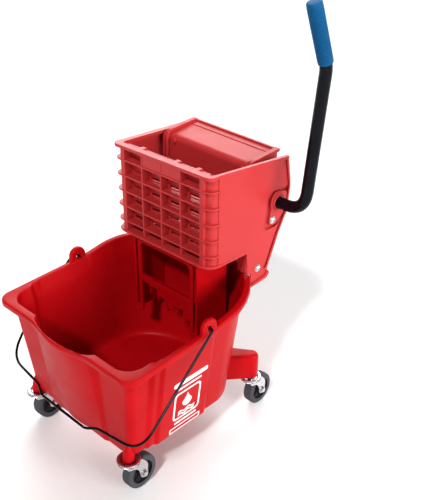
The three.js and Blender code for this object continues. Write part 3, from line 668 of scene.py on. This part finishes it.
def caster_tyre():
    r, w = WHEEL_RADIUS, 12.0
    profile = [(26, -w + 1.2), (27.5, -w + 0.4), (31.0, -w), (33.5, -w + 0.7)]
    profile += [(r - 3.4 + 3.2 * math.sin(a), -w + 4.2 - 3.4 * math.cos(a)) for a in (0.5, 0.9, 1.25)]
    profile += [(r - 0.12, -w + 4.4), (r, -4.0), (r, 0), (r, 4.0), (r - 0.12, w - 4.4)]
    profile += [(r - 3.4 + 3.2 * math.sin(a), w - 4.2 + 3.4 * math.cos(a)) for a in (1.25, 0.9, 0.5)]
    profile += [(33.5, w - 0.7), (31.0, w), (27.5, w - 0.4), (26, w - 1.2)]
    profile.append(profile[0])
    return on_axle(profile, 72)


def caster_hub():
    w = 12.0
    side = [
        (26.2, w - 1.6), (25.0, w - 1.4), (24.2, w - 4.6), (12.6, w - 5.4), (10.4, w - 1.0), (9.4, w - 0.2),
    ]
    profile = side + [(4.4, w - 0.2), (4.4, -w + 0.2)] + [(r, -h) for r, h in reversed(side)]
    profile.append(profile[0])
    shells = [on_axle(profile, 56)]
    for k in range(6):
        turn = Matrix.Rotation(k * math.pi / 3, 4, "X")
        centre = Matrix.Translation((0, TRAIL, WHEEL_RADIUS))
        rib = softened(block(-w + 3.4, w - 3.4, -0.9, 0.9, 10.5, 24.6), 0.4)
        shells.append(moved(rib, centre @ turn))
    return shells


def caster_stem():
    profile = [(0, 74.6), (8.5, 74.6), (10, 75.2), (10, 75.8), (9.6, 76.1), (6, 76.1), (6, 84), (0, 84)]
    return lathe(profile, 32)


def build_casters():
    parts = [
        ("stem", [caster_stem()], ZINC, "bucket", "zinc"),
        ("fork", caster_fork(), ZINC, "swivel_{}", "zinc"),
        ("axle", caster_axle(), ZINC, "swivel_{}", "zinc"),
        ("tyre", [caster_tyre()], GREY_RUBBER, "wheel_{}", "grey_rubber"),
        ("hub", caster_hub(), BLACK_PLASTIC, "wheel_{}", "black_plastic"),
    ]
    for corner, (x, y) in CASTERS.items():
        where = Matrix.Translation((x, y, 0)) @ Matrix.Rotation(CASTER_TURN, 4, "Z")
        for kind, shells, material, body, slot in parts:
            shells = [moved(shell, where) for shell in shells]
            node = f"caster_{corner}_{kind}"
            piece(f"{kind}_{corner}", shells, material, body.format(corner), [node])


# ---------- lever ----------
LEVER_X = 219.0
LEAN = math.radians(7)
NOD = math.radians(-24)
LOWER, UPPER = 290.0, 132.0
GRIP_LENGTH, GRIP_RADIUS = 121.0, 15.5


def lever_points():
    bend = Vector((LEVER_X, SHAFT_Y + LOWER * math.sin(LEAN), SHAFT_Z + LOWER * math.cos(LEAN)))
    tip = bend + Vector((0, UPPER * math.sin(NOD), UPPER * math.cos(NOD)))
    return bend, tip


def grip_shell():
    """A sleeve with raised lozenges in a spiral pattern."""
    sides, rows = 144, 150
    bend, tip = lever_points()
    rings = []
    for j in range(rows + 1):
        h = -GRIP_LENGTH + (GRIP_LENGTH + 1.2) * j / rows
        end = min(smoothstep(h, -GRIP_LENGTH, -GRIP_LENGTH + 7), 1 - smoothstep(h, -6, -1))
        ring = []
        for k in range(sides):
            a = 2 * math.pi * k / sides
            u, v = a * 15 / math.pi / 2, h / 6.6
            ridge = abs(math.sin(math.pi * (u + v))) * abs(math.sin(math.pi * (u - v)))
            radius = GRIP_RADIUS - 1.0 + 1.0 * end * smoothstep(ridge, 0.15, 0.55) + 0.6 * (1 - end)
            ring.append(Vector((radius * math.cos(a), radius * math.sin(a), h)))
        rings.append(ring)
    for radius, h in [(14.6, 2.2), (13.2, 3.2), (10.5, 3.8), (5, 4)]:
        angles = [2 * math.pi * k / sides for k in range(sides)]
        rings.append([Vector((radius * math.cos(a), radius * math.sin(a), h)) for a in angles])
    return moved(loft(rings), Matrix.Translation(tip) @ Matrix.Rotation(-NOD, 4, "X"))


def pinion_shells():
    teeth = 14
    points = []
    for k in range(teeth):
        middle = -math.pi / 2 + k * 2 * math.pi / teeth
        for radius, across in [(30, -4.5), (36, -2.9), (39, -1.6), (39, 1.6), (36, 2.9), (30, 4.5)]:
            a = middle + across / radius
            points.append((SHAFT_Y + radius * math.cos(a), SHAFT_Z + radius * math.sin(a)))
    collar = [(12.8, 120.4), (19, 120.4), (19, 129.6), (12.8, 129.6), (12.8, 120.4)]
    hub = lathe(collar, 48, "x", (0, SHAFT_Y, SHAFT_Z))
    return [softened(prism(points, "x", 120.8, 129.2), 0.5), hub]


def build_lever():
    bend, tip = lever_points()
    path = rounded_path(
        [(-155, SHAFT_Y, SHAFT_Z), (LEVER_X, SHAFT_Y, SHAFT_Z, 44), (*bend, 14), tuple(tip)], 20
    )
    piece("lever", [sweep(path, SHAFT_RADIUS, 40)], BLACK_ENAMEL, "lever", ["lever_tube"],
          weighted=False)
    piece("grip", [grip_shell()], BLUE_GRIP, "lever", ["lever_grip"], weighted=False)
    right = pinion_shells()
    piece("pinion_r", right, BLACK_PLASTIC, "lever", ["pinion_right"])
    piece("pinion_l", [mirrored(s) for s in right], BLACK_PLASTIC, "lever", ["pinion_left"])
    cup = lathe(
        [(0, -159), (14, -159), (16.4, -157.4), (16.6, -156), (16.6, -147.4), (15.8, -147), (0, -147)],
        48, "x", (0, SHAFT_Y, SHAFT_Z),
    )
    piece("end_cap", [cup], BLACK_PLASTIC, "lever", ["shaft_retainer"])


# ---------- wringer ----------
WALL_REAR = 222.0
RIB_TOPS = [573 - 35 * k for k in range(5)]
COLUMNS = (-56, 0, 56)
BEARING_ARM = [(184, 524, 14), (224, 516, 8), (221, 474, 8), (192, 446, 10), (170, 450, 10)]
BEARING_POCKET = [(166, 533, 36), (226, 523, 6), (222, 469, 8), (193, 443, 5), (154, 441, 20)]
ARM_FACE = BASKET_HALF - 0.3
RACK_BOTTOM = 443.0
PITCH_RADIUS = 35.0


def flared(shell):
    """The lever side wall opens towards the rear about its front edge."""
    hinge = Vector((BASKET_HALF, WALL_START, 0))
    turn = Matrix.Rotation(-FLARE, 4, "Z")
    return moved(shell, Matrix.Translation(hinge) @ turn @ Matrix.Translation(-hinge))


def waffle():
    """Five ribs that wrap round both corners, posts and columns between them, and the slotted skin."""
    half, front = BASKET_HALF, BASKET_FRONT
    shells = []
    for top in RIB_TOPS:
        plan = [
            (-half - 2.5, 27), (-half - 2.5, front, 22), (half + 2, front, 22), (half + 2, 27),
            (118, 25), (-118, 25),
        ]
        shells.append(softened(prism(plan, "z", top - 4, top, 10), 1.0))
    for x in COLUMNS:
        shells.append(softened(block(x - 2, x + 2, front + 1, 24, 409, 600), 0.8))
    shells += both(softened(block(109, 121, front + 1, 24, 409, 600), 1.2))
    shells.append(softened(block(-54, 54, front + 2, 24, 571, 600), 0.8))
    slits = []
    for top in RIB_TOPS[:4]:
        for column in range(4):
            x = (column - 2) * 56 + 28
            slits.append(block(x - 21, x + 21, 15, 35, top - 33, top - 26))
    shells.append(carved(block(-124, 124, 22, 26, 409, 600), *slits))
    corner = [(119, 26), (119, 9), (half - 2.5, 8, 19), (half - 1.5, 34), (half - 5, 34), (half - 6, 26)]
    shells += both(prism(corner, "z", 409, 600, 12))
    return shells


def top_lip():
    half, reach = BASKET_HALF, WALL_REAR - WALL_START
    swing = math.tan(FLARE) * reach
    plan = [
        (-half - 1, WALL_REAR + 2, 5), (-half - 1, -1, 14), (half + 1, -1, 14), (half + 1, WALL_START),
        (half + 1 + swing, WALL_REAR), (half - 7 + swing, WALL_REAR), (half - 7, WALL_START),
        (half - 8, 14, 8),
        (13 - half, 14, 9), (13 - half, WALL_REAR - 12, 6), (2 - half, WALL_REAR - 10),
    ]
    points, faces = softened(prism(plan, "z", 597, 604, 8), 2.2, 3)
    sunk = []
    for p in points:
        behind = max(0.0, p.y - WALL_START) / reach
        sunk.append(Vector((p.x, p.y, p.z - (10 if p.x > 0 else 4) * behind)))
    return sunk, faces


def rear_groove(top_rear, margin=0.0):
    front = [(WALL_REAR - 15, top_rear - 6 + margin), (218, 527), (211, 469), (190, 424), (160, 352 - margin)]
    rear = [(WALL_REAR - 5, top_rear - 6 + margin), (229, 527), (221, 469), (199, 426), (168, 352 - margin)]
    return [(y + margin, z) for y, z in rear] + [(y - margin, z) for y, z in reversed(front)]


def shaft_bore():
    """The hole that the bush sits in, with the shaft through it."""
    low, high = BASKET_HALF - 20, BASKET_HALF + 20
    outline = [(0, low), (BUSH_HOLE, low), (BUSH_HOLE, high), (0, high)]
    return lathe(outline, 48, "x", (0, SHAFT_Y, SHAFT_Z))


def side_wall(top_rear, rim_clear):
    """A side wall with its leg, the groove along its rear edge and the recess of the bearing plate."""
    half = BASKET_HALF
    edge = [
        (WALL_START, 602), (WALL_REAR, top_rear, 3), (234, 527, 12), (226, 467, 12), (204, 424), (171, 345),
        (174, 338, 3), (166, 328, 3), (114, 321, 3), (114, 337.5), (rim_clear, 338.5),
        (rim_clear, 353.5), (111, 354, 2),
        (106, BASKET_BOTTOM, 4), (WALL_START, BASKET_BOTTOM),
    ]
    groove = prism(rear_groove(top_rear), "x", half - 4, half + 5)
    pocket = prism(BEARING_POCKET, "x", half - 6, half + 5, 10)
    wall = softened(carved(prism(edge, "x", half - 4, half), groove, pocket, shaft_bore()), 0.9)
    band = carved(prism(rear_groove(top_rear, 2.5), "x", half - 8, half - 1), groove, pocket, shaft_bore())
    around = [(162, 536, 38), (229, 526, 6), (225, 466, 8), (196, 440, 5), (150, 438, 22)]
    pad = carved(prism(around, "x", half - 10, half - 0.6, 10), pocket, groove, shaft_bore())
    sole = [(114, 320.5), (168, 327.5, 3), (176.5, 339, 3), (171, 345), (163, 334), (114, 326.5)]
    foot = softened(prism(sole, "x", half - 3, half + 4), 1.2, 3)
    shin = softened(block(half - 27, half - 2, 107, 110.5, 357, BASKET_BOTTOM + 2), 0.8)
    return [wall, band, pad, foot, shin]


def basket_shells():
    half, bottom = BASKET_HALF, BASKET_BOTTOM
    shells = waffle() + [top_lip()]
    shells += [mirrored(shell) for shell in side_wall(600, 126.5)]
    shells += [flared(shell) for shell in side_wall(594, 121.0)]
    rim = [
        (-half - 2, 108), (-half - 2, -4, 34), (half + 2, -4, 34), (half + 4, 108), (half - 10, 108),
        (half - 10, 28), (-half + 10, 28), (-half + 10, 108),
    ]
    shells.append(softened(prism(rim, "z", bottom - 4, bottom + 1.5, 14), 1.6, 3))
    drains = [block(x - 5, x + 5, 40, 126, bottom - 5, bottom + 8) for x in range(-90, 91, 30)]
    shells.append(carved(block(-half + 2, half - 2, 22, 196, bottom - 1, bottom + 3), *drains))
    shells.append(softened(block(-half + 2, half + 6, 192, 196, bottom - 1, 418), 0.8))
    tab = prism([(-6, 366, 4), (6, 366, 4), (8, bottom), (-8, bottom)], "y", 45, 50)
    shells.append(softened(tab, 0.8))
    for x in (-72, 30, 88):
        shells.append(softened(block(x - 7, x + 7, 10, 29, 588, 603.6), 2.4, 3))
    for swing, flip in ((8, False), (0, True)):
        outline = [(120.3, 30), (138, 30), (138 + swing, 190), (120.3, 190)]
        ledge = softened(prism(outline, "z", RACK_BOTTOM - 8, RACK_BOTTOM - 0.3), 0.8)
        shells.append(mirrored(ledge) if flip else ledge)
    return shells


def housing_shells():
    """The square shaft under the basket, with its window, crossbar, apron and fins."""
    half, front, rear, bottom, top = 97.0, 8.0, 99.0, 214.0, 404.7
    shaft = block(-half, half, front, rear, bottom, top)
    bore = block(-half + 4, half - 4, front + 4, rear - 4, bottom - 5, top + 5)
    window = prism([(-76, 309), (-76, 390, 12), (76, 390, 16), (76, 309)], "y", front - 5, front + 7)
    under = block(-76, 76, front - 5, front + 7, bottom - 5, 295)
    slot = block(half - 12, half - 4.5, front - 5, front + 6, bottom + 12, top - 12)
    shells = [softened(carved(shaft, bore, window, under, *both(slot)), 1.1)]
    shells.append(softened(block(-78, 78, front + 0.6, front + 9, 296, 309), 1.8, 3))
    apron = [
        (-76, 299), (76, 299), (76, 250), (52, 250), (52, 268), (24, 268), (24, 250), (-6, 256), (-6, 270),
        (-30, 274), (-30, 286), (-76, 290),
    ]
    shells.append(softened(prism(apron, "y", front + 3, front + 6), 0.8))
    for x, low in ((-51, 268), (-25, 262), (3, 246), (38, 258)):
        shells.append(softened(block(x - 1.6, x + 1.6, front + 2, front + 18, low, 298), 0.7))
    shells.append(softened(block(-half + 2, half - 2, front + 24, front + 28, 265, 283), 0.8))
    foot = softened(block(half - 12, half + 3, front - 4, front + 14, bottom, bottom + 4), 1.2, 3)
    return shells + both(foot)


def saddle_shells():
    """The channel over the rear rim, with webs up to the basket."""
    front, rear, deck = 131.0, 178.0, 353.0
    top = BASKET_BOTTOM - 1.3
    shells = [softened(block(-60, 60, front, rear, deck, deck + 6), 1.4, 3)]
    for y in (front, rear - 4):
        shells.append(softened(block(-60, 60, y, y + 4, deck - 26, deck + 2), 1.2))
    for x in (-60, -2, 56):
        shells.append(softened(block(x, x + 4, front, rear, deck + 4, top), 1.0))
    return shells


def bearing_plate():
    arm = prism(BEARING_ARM, "x", BASKET_HALF - 5.7, ARM_FACE, 10)
    eye = lathe([(17.2, ARM_FACE - 2), (21.5, ARM_FACE - 2), (21.5, ARM_FACE + 1), (20, ARM_FACE + 2.4),
                 (17.2, ARM_FACE + 2.4), (17.2, ARM_FACE - 2)], 64, "x", (0, SHAFT_Y, SHAFT_Z))
    return [carved(softened(arm, 1.5, 3), shaft_bore()), eye]


def bush(low):
    high = low + 15
    ring = [(12.9, low), (16.2, low), (16.9, low + 1), (16.9, high - 2.2), (15.9, high - 0.6), (14.4, high),
            (13.2, high - 0.4), (12.9, high - 1.4), (12.9, low)]
    return lathe(ring, 64, "x", (0, SHAFT_Y, SHAFT_Z))


def screw_shells(y, z, seat):
    """A pan head over a washer, with a cross recess."""
    washer = lathe([(3, 0.2), (8.2, 0.2), (8.6, 0.7), (8.2, 1.3), (3, 1.3), (3, 0.2)], 40, "x")
    dome = [(0, 0.4), (6.6, 0.4), (6.9, 1.6), (6.6, 2.8), (5.6, 3.7), (3.9, 4.3), (2.0, 4.6), (0, 4.7)]
    arms = [block(2.6, 6, -3.6, 3.6, -0.75, 0.75), block(2.6, 6, -0.75, 0.75, -3.6, 3.6)]
    head = carved(lathe(dome, 40, "x"), *arms)
    where = Matrix.Translation((seat, y, z)) @ Matrix.Rotation(math.radians(24), 4, "X")
    return [moved(shell, where) for shell in (washer, head)]


def build_wringer():
    body, slot = "wringer", "red_plastic"
    piece("basket", basket_shells(), PALE_AND_LIT_RED, body, ["wringer_basket"], sharp=35)
    # The housing and saddle sit in shade under the basket and get the deeper red, as painted shade against
    # the paler, lit wringer parts.
    piece("housing", housing_shells(), RED, body, ["wringer_housing"], sharp=35)
    piece("saddle", saddle_shells(), RED, body, ["wringer_saddle"], sharp=35)
    plate = bearing_plate()
    piece("bearing_plate_r", [flared(s) for s in plate], PALE_AND_LIT_RED, body, ["bearing_plate_right"])
    piece("bearing_plate_l", [mirrored(s) for s in plate], PALE_AND_LIT_RED, body, ["bearing_plate_left"])
    piece("bush_r", [bush(BASKET_HALF - 2)], PALE_AND_LIT_RED, body, ["shaft_bush_right"])
    piece("bush_l", [mirrored(bush(BASKET_HALF - 11))], PALE_AND_LIT_RED, body, ["shaft_bush_left"])
    for name, y, z, seat in (("bearing_screw", 181, 461, ARM_FACE), ("leg_screw", 141, 360, BASKET_HALF)):
        shells = screw_shells(y, z, seat)
        piece(f"{name}_r", [flared(s) for s in shells], ZINC, body, [f"{name}_right"])
        piece(f"{name}_l", [mirrored(s) for s in shells], ZINC, body, [f"{name}_left"])


# ---------- press ----------
PRESS_HALF = 119.0
PRESS_FACE = 138.0
PRESS_REAR = 224.0
FOLD_Z, SHELF_Z = 590.0, 602.0


def tilted(shell):
    """The press hangs a little lower on the lever's side at its top."""
    points, faces = shell
    out = []
    for p in points:
        share = smoothstep(p.z, 540, 585)
        out.append(Vector((p.x, p.y, p.z - share * 4.5 * p.x / PRESS_HALF)))
    return out, faces


def press_shells():
    """The squeezing face folded back into a shelf, between two cheeks with a rolled edge."""
    inner = PRESS_HALF - 2
    section = [
        (PRESS_FACE, 420), (PRESS_FACE, FOLD_Z, 13), (PRESS_REAR, SHELF_Z), (PRESS_REAR, SHELF_Z - 4),
        (PRESS_FACE + 4, FOLD_Z - 5, 10), (PRESS_FACE + 4, 420),
    ]
    shells = [softened(prism(section, "x", -inner, inner, 10), 0.8, sharp=50)]
    slope = (SHELF_Z - FOLD_Z) / (PRESS_REAR - PRESS_FACE)

    def strip(y0, y1, proud):
        z0, z1 = FOLD_Z + slope * (y0 - PRESS_FACE), FOLD_Z + slope * (y1 - PRESS_FACE)
        bar = [(y0, z0 - 2), (y1, z1 - 2), (y1, z1 + proud), (y0, z0 + proud)]
        return softened(prism(bar, "x", -inner, inner), 0.6)

    shells += [strip(PRESS_REAR - 5, PRESS_REAR, 3.6), strip(PRESS_REAR - 22, PRESS_REAR - 18, 1.4)]
    clear = SHAFT_RADIUS + 3
    cheek = [
        (126, 420, 6), (126, 599, 22), (PRESS_REAR, 607, 4), (PRESS_REAR, SHAFT_Z + clear),
        (SHAFT_Y - clear, SHAFT_Z + clear, 10), (SHAFT_Y - clear, SHAFT_Z - clear, 10),
        (PRESS_REAR, SHAFT_Z - clear), (PRESS_REAR, 420, 6),
    ]
    shells += both(softened(prism(cheek, "x", PRESS_HALF - 4, PRESS_HALF, 10), 1.2, 3))
    roll = [
        (126, 500, 3), (126, 599, 22), (PRESS_REAR, 607, 2), (PRESS_REAR, 600), (134, 591, 15), (134, 500, 3),
    ]
    shells += both(softened(prism(roll, "x", PRESS_HALF - 6, PRESS_HALF + 6.5, 10), 1.8, 3))
    for x in (-56, 0, 56):
        shells.append(softened(block(x - 2, x + 2, PRESS_FACE + 2, SHAFT_Y - 20, 428, 588), 0.7))
    for x in (-100, 100):
        button = lathe([(0, -5), (4.6, -5), (5.2, -4.2), (5.2, 0), (0, 0)], 28, "y", (x, PRESS_FACE + 1, 578))
        shells.append(button)
    return [tilted(shell) for shell in shells]


def rack_shell():
    line = SHAFT_Z - PITCH_RADIUS
    root, tip = line - 5, line + 4
    pitch = 2 * math.pi * PITCH_RADIUS / 14
    rear = SHAFT_Y + 60
    points = [(132, RACK_BOTTOM), (rear, RACK_BOTTOM), (rear, root)]
    for k in range(2, -3, -1):
        middle = SHAFT_Y + (k + 0.5) * pitch
        points += [(middle + 4.4, root), (middle + 1.6, tip), (middle - 1.6, tip), (middle - 4.4, root)]
    points.append((132, root))
    return softened(prism(points, "x", PRESS_HALF + 0.5, PRESS_HALF + 10.1), 0.5)


def build_press():
    piece("press", press_shells(), PALE_AND_LIT_RED, "press", ["press_plate"], sharp=35)
    piece("rack_r", [rack_shell()], PALE_AND_LIT_RED, "press", ["press_rack_right"])
    piece("rack_l", [mirrored(rack_shell())], PALE_AND_LIT_RED, "press", ["press_rack_left"])


# ---------- print on the side panel ----------
def panel_point(y, z, proud):
    top = rim_height(BASE["half"], y, 1.0, 0.0)
    t = (z - TUB_BOTTOM) / (top - TUB_BOTTOM)
    return Vector((BASE["half"] + (WALL["half"] - BASE["half"]) * t + PANEL_RISE + proud, y, z))


def printed(loop, hole=None):
    """A film of ink inside a loop of (y, z) points, or between it and a hole of as many points."""
    rings = [[panel_point(y, z, 0.35) for y, z in loop], [panel_point(y, z, -0.6) for y, z in loop]]
    if hole is None:
        return loft(rings)
    rings += [[panel_point(y, z, -0.6) for y, z in hole], [panel_point(y, z, 0.35) for y, z in hole]]
    return looped(rings)


def round_box(y, z, wide, high, radius, steps=6):
    corners = [
        (y - wide / 2, z - high / 2, radius), (y + wide / 2, z - high / 2, radius),
        (y + wide / 2, z + high / 2, radius), (y - wide / 2, z + high / 2, radius),
    ]
    return [tuple(p) for p in outline(corners, steps)]


def drop_loop(y, z, size):
    """A water drop: round below and drawn out to a point above."""
    loop = []
    for k in range(48):
        a = 2 * math.pi * k / 48 - math.pi / 2
        lift = max(0.0, math.sin(a))
        wide = size * math.cos(a) * (1 - lift ** 1.6) ** 0.9
        tall = size * math.sin(a) * (1 + 0.75 * lift ** 3)
        loop.append((y + wide, z + tall))
    return loop


def wave_loop(y, z, long, high):
    top = [(y + long * (k / 40 - 0.5), z + high * math.sin(k / 40 * 4 * math.pi) + 2) for k in range(41)]
    return [(a, b - 4) for a, b in top] + list(reversed(top))


def build_print():
    y, z = -106.0, 167.0
    shells = [printed(round_box(y, z, 74, 74, 12), round_box(y, z, 65, 65, 8))]
    shells.append(printed(drop_loop(y, z + 4, 13)))
    shells += [printed(wave_loop(y, z - 19, 46, 2.2)), printed(wave_loop(y, z - 26, 46, 2.2))]
    shells.append(printed(round_box(y, 121.5, 62, 5, 2.4)))
    shells.append(printed(round_box(y, 105, 86, 14, 3.4), round_box(y, 105, 80, 8, 1.8)))
    shells += [printed(round_box(-105, 214.5, 70, 5, 2.4)), printed(round_box(-101, 229, 94, 11, 5))]
    piece("print", shells, WHITE_INK, "bucket", weighted=False)


build_bucket()
build_casters()
build_lever()
build_wringer()
build_press()
build_print()


# ---------- stage, light and camera ----------
def stage_floor():
    bm = bmesh.new()
    reach = 30.0
    bmesh.ops.create_grid(bm, x_segments=1, y_segments=1, size=reach)
    mesh = bpy.data.meshes.new("floor")
    bm.to_mesh(mesh)
    bm.free()
    material, nodes, links, shader = new_material("floor")
    shader.inputs["Base Color"].default_value = (0.9, 0.9, 0.9, 1)
    shader.inputs["Roughness"].default_value = 0.9
    shader.inputs["Specular IOR Level"].default_value = 0.1
    mesh.materials.append(material)
    floor = bpy.data.objects.new("floor", mesh)
    bpy.context.scene.collection.objects.link(floor)


def aim(thing, target):
    direction = Vector(target) - thing.location
    thing.rotation_euler = direction.to_track_quat("-Z", "Y").to_euler()


def area_light(name, where, target, size, power):
    data = bpy.data.lights.new(name, "AREA")
    data.shape = "DISK"
    data.size = size
    data.energy = power
    lamp = bpy.data.objects.new(name, data)
    lamp.location = where
    bpy.context.scene.collection.objects.link(lamp)
    aim(lamp, target)


def sun_light(name, azimuth, elevation, softness, strength):
    """A far light that shines from the given azimuth (from +X towards +Y) and elevation."""
    data = bpy.data.lights.new(name, "SUN")
    data.angle = math.radians(softness)
    data.energy = strength
    lamp = bpy.data.objects.new(name, data)
    flat, rise = math.cos(math.radians(elevation)), math.sin(math.radians(elevation))
    turn = math.radians(azimuth)
    lamp.location = (3 * flat * math.cos(turn), 3 * flat * math.sin(turn), 3 * rise)
    bpy.context.scene.collection.objects.link(lamp)
    aim(lamp, (0, 0, 0))


def studio_world():
    """A studio that is bright at the foot of its walls and dim above."""
    world = bpy.data.worlds.new("studio")
    world.use_nodes = True
    nodes, links = world.node_tree.nodes, world.node_tree.links
    where = nodes.new("ShaderNodeTexCoord")
    split = nodes.new("ShaderNodeSeparateXYZ")
    height = nodes.new("ShaderNodeMapRange")
    height.inputs["From Min"].default_value = 0.10
    height.inputs["From Max"].default_value = 0.35
    height.inputs["To Min"].default_value = 1.1
    height.inputs["To Max"].default_value = 0.10
    links.new(where.outputs["Generated"], split.inputs["Vector"])
    links.new(split.outputs["Z"], height.inputs["Value"])
    links.new(height.outputs["Result"], nodes["Background"].inputs["Strength"])
    nodes["Background"].inputs["Color"].default_value = (1, 1, 1, 1)
    bpy.context.scene.world = world


def lighting():
    studio_world()
    sun_light("front_key", -69, 46, 6, 2.15)
    sun_light("side_key", 8, 11, 40, 3.2)
    sun_light("back_top", 132, 32, 50, 2.7)
    area_light("top", (0.5, 0.3, 3.0), (0, 0, 0.4), 1.4, 14)
    bpy.context.scene.view_settings.view_transform = "Standard"
    bpy.context.scene.view_settings.gamma = 0.9


def camera():
    azimuth, dip, roll = math.radians(42.59), math.radians(28.40), math.radians(1.01)
    eye = place((997.8, -903.2, 1128.8))
    forward = Vector((-math.sin(azimuth) * math.cos(dip), math.cos(azimuth) * math.cos(dip), -math.sin(dip)))
    level = Vector((math.cos(azimuth), math.sin(azimuth), 0))
    upright = level.cross(forward)
    right = level * math.cos(roll) + upright * math.sin(roll)
    up = upright * math.cos(roll) - level * math.sin(roll)
    data = bpy.data.cameras.new("camera")
    data.lens = 52.3
    data.sensor_width = 36
    data.clip_end = 100
    view = bpy.data.objects.new("camera", data)
    view.matrix_world = Matrix.Translation(eye) @ Matrix((right, up, -forward)).transposed().to_4x4()
    bpy.context.scene.collection.objects.link(view)
    bpy.context.scene.camera = view


stage_floor()
lighting()
camera()
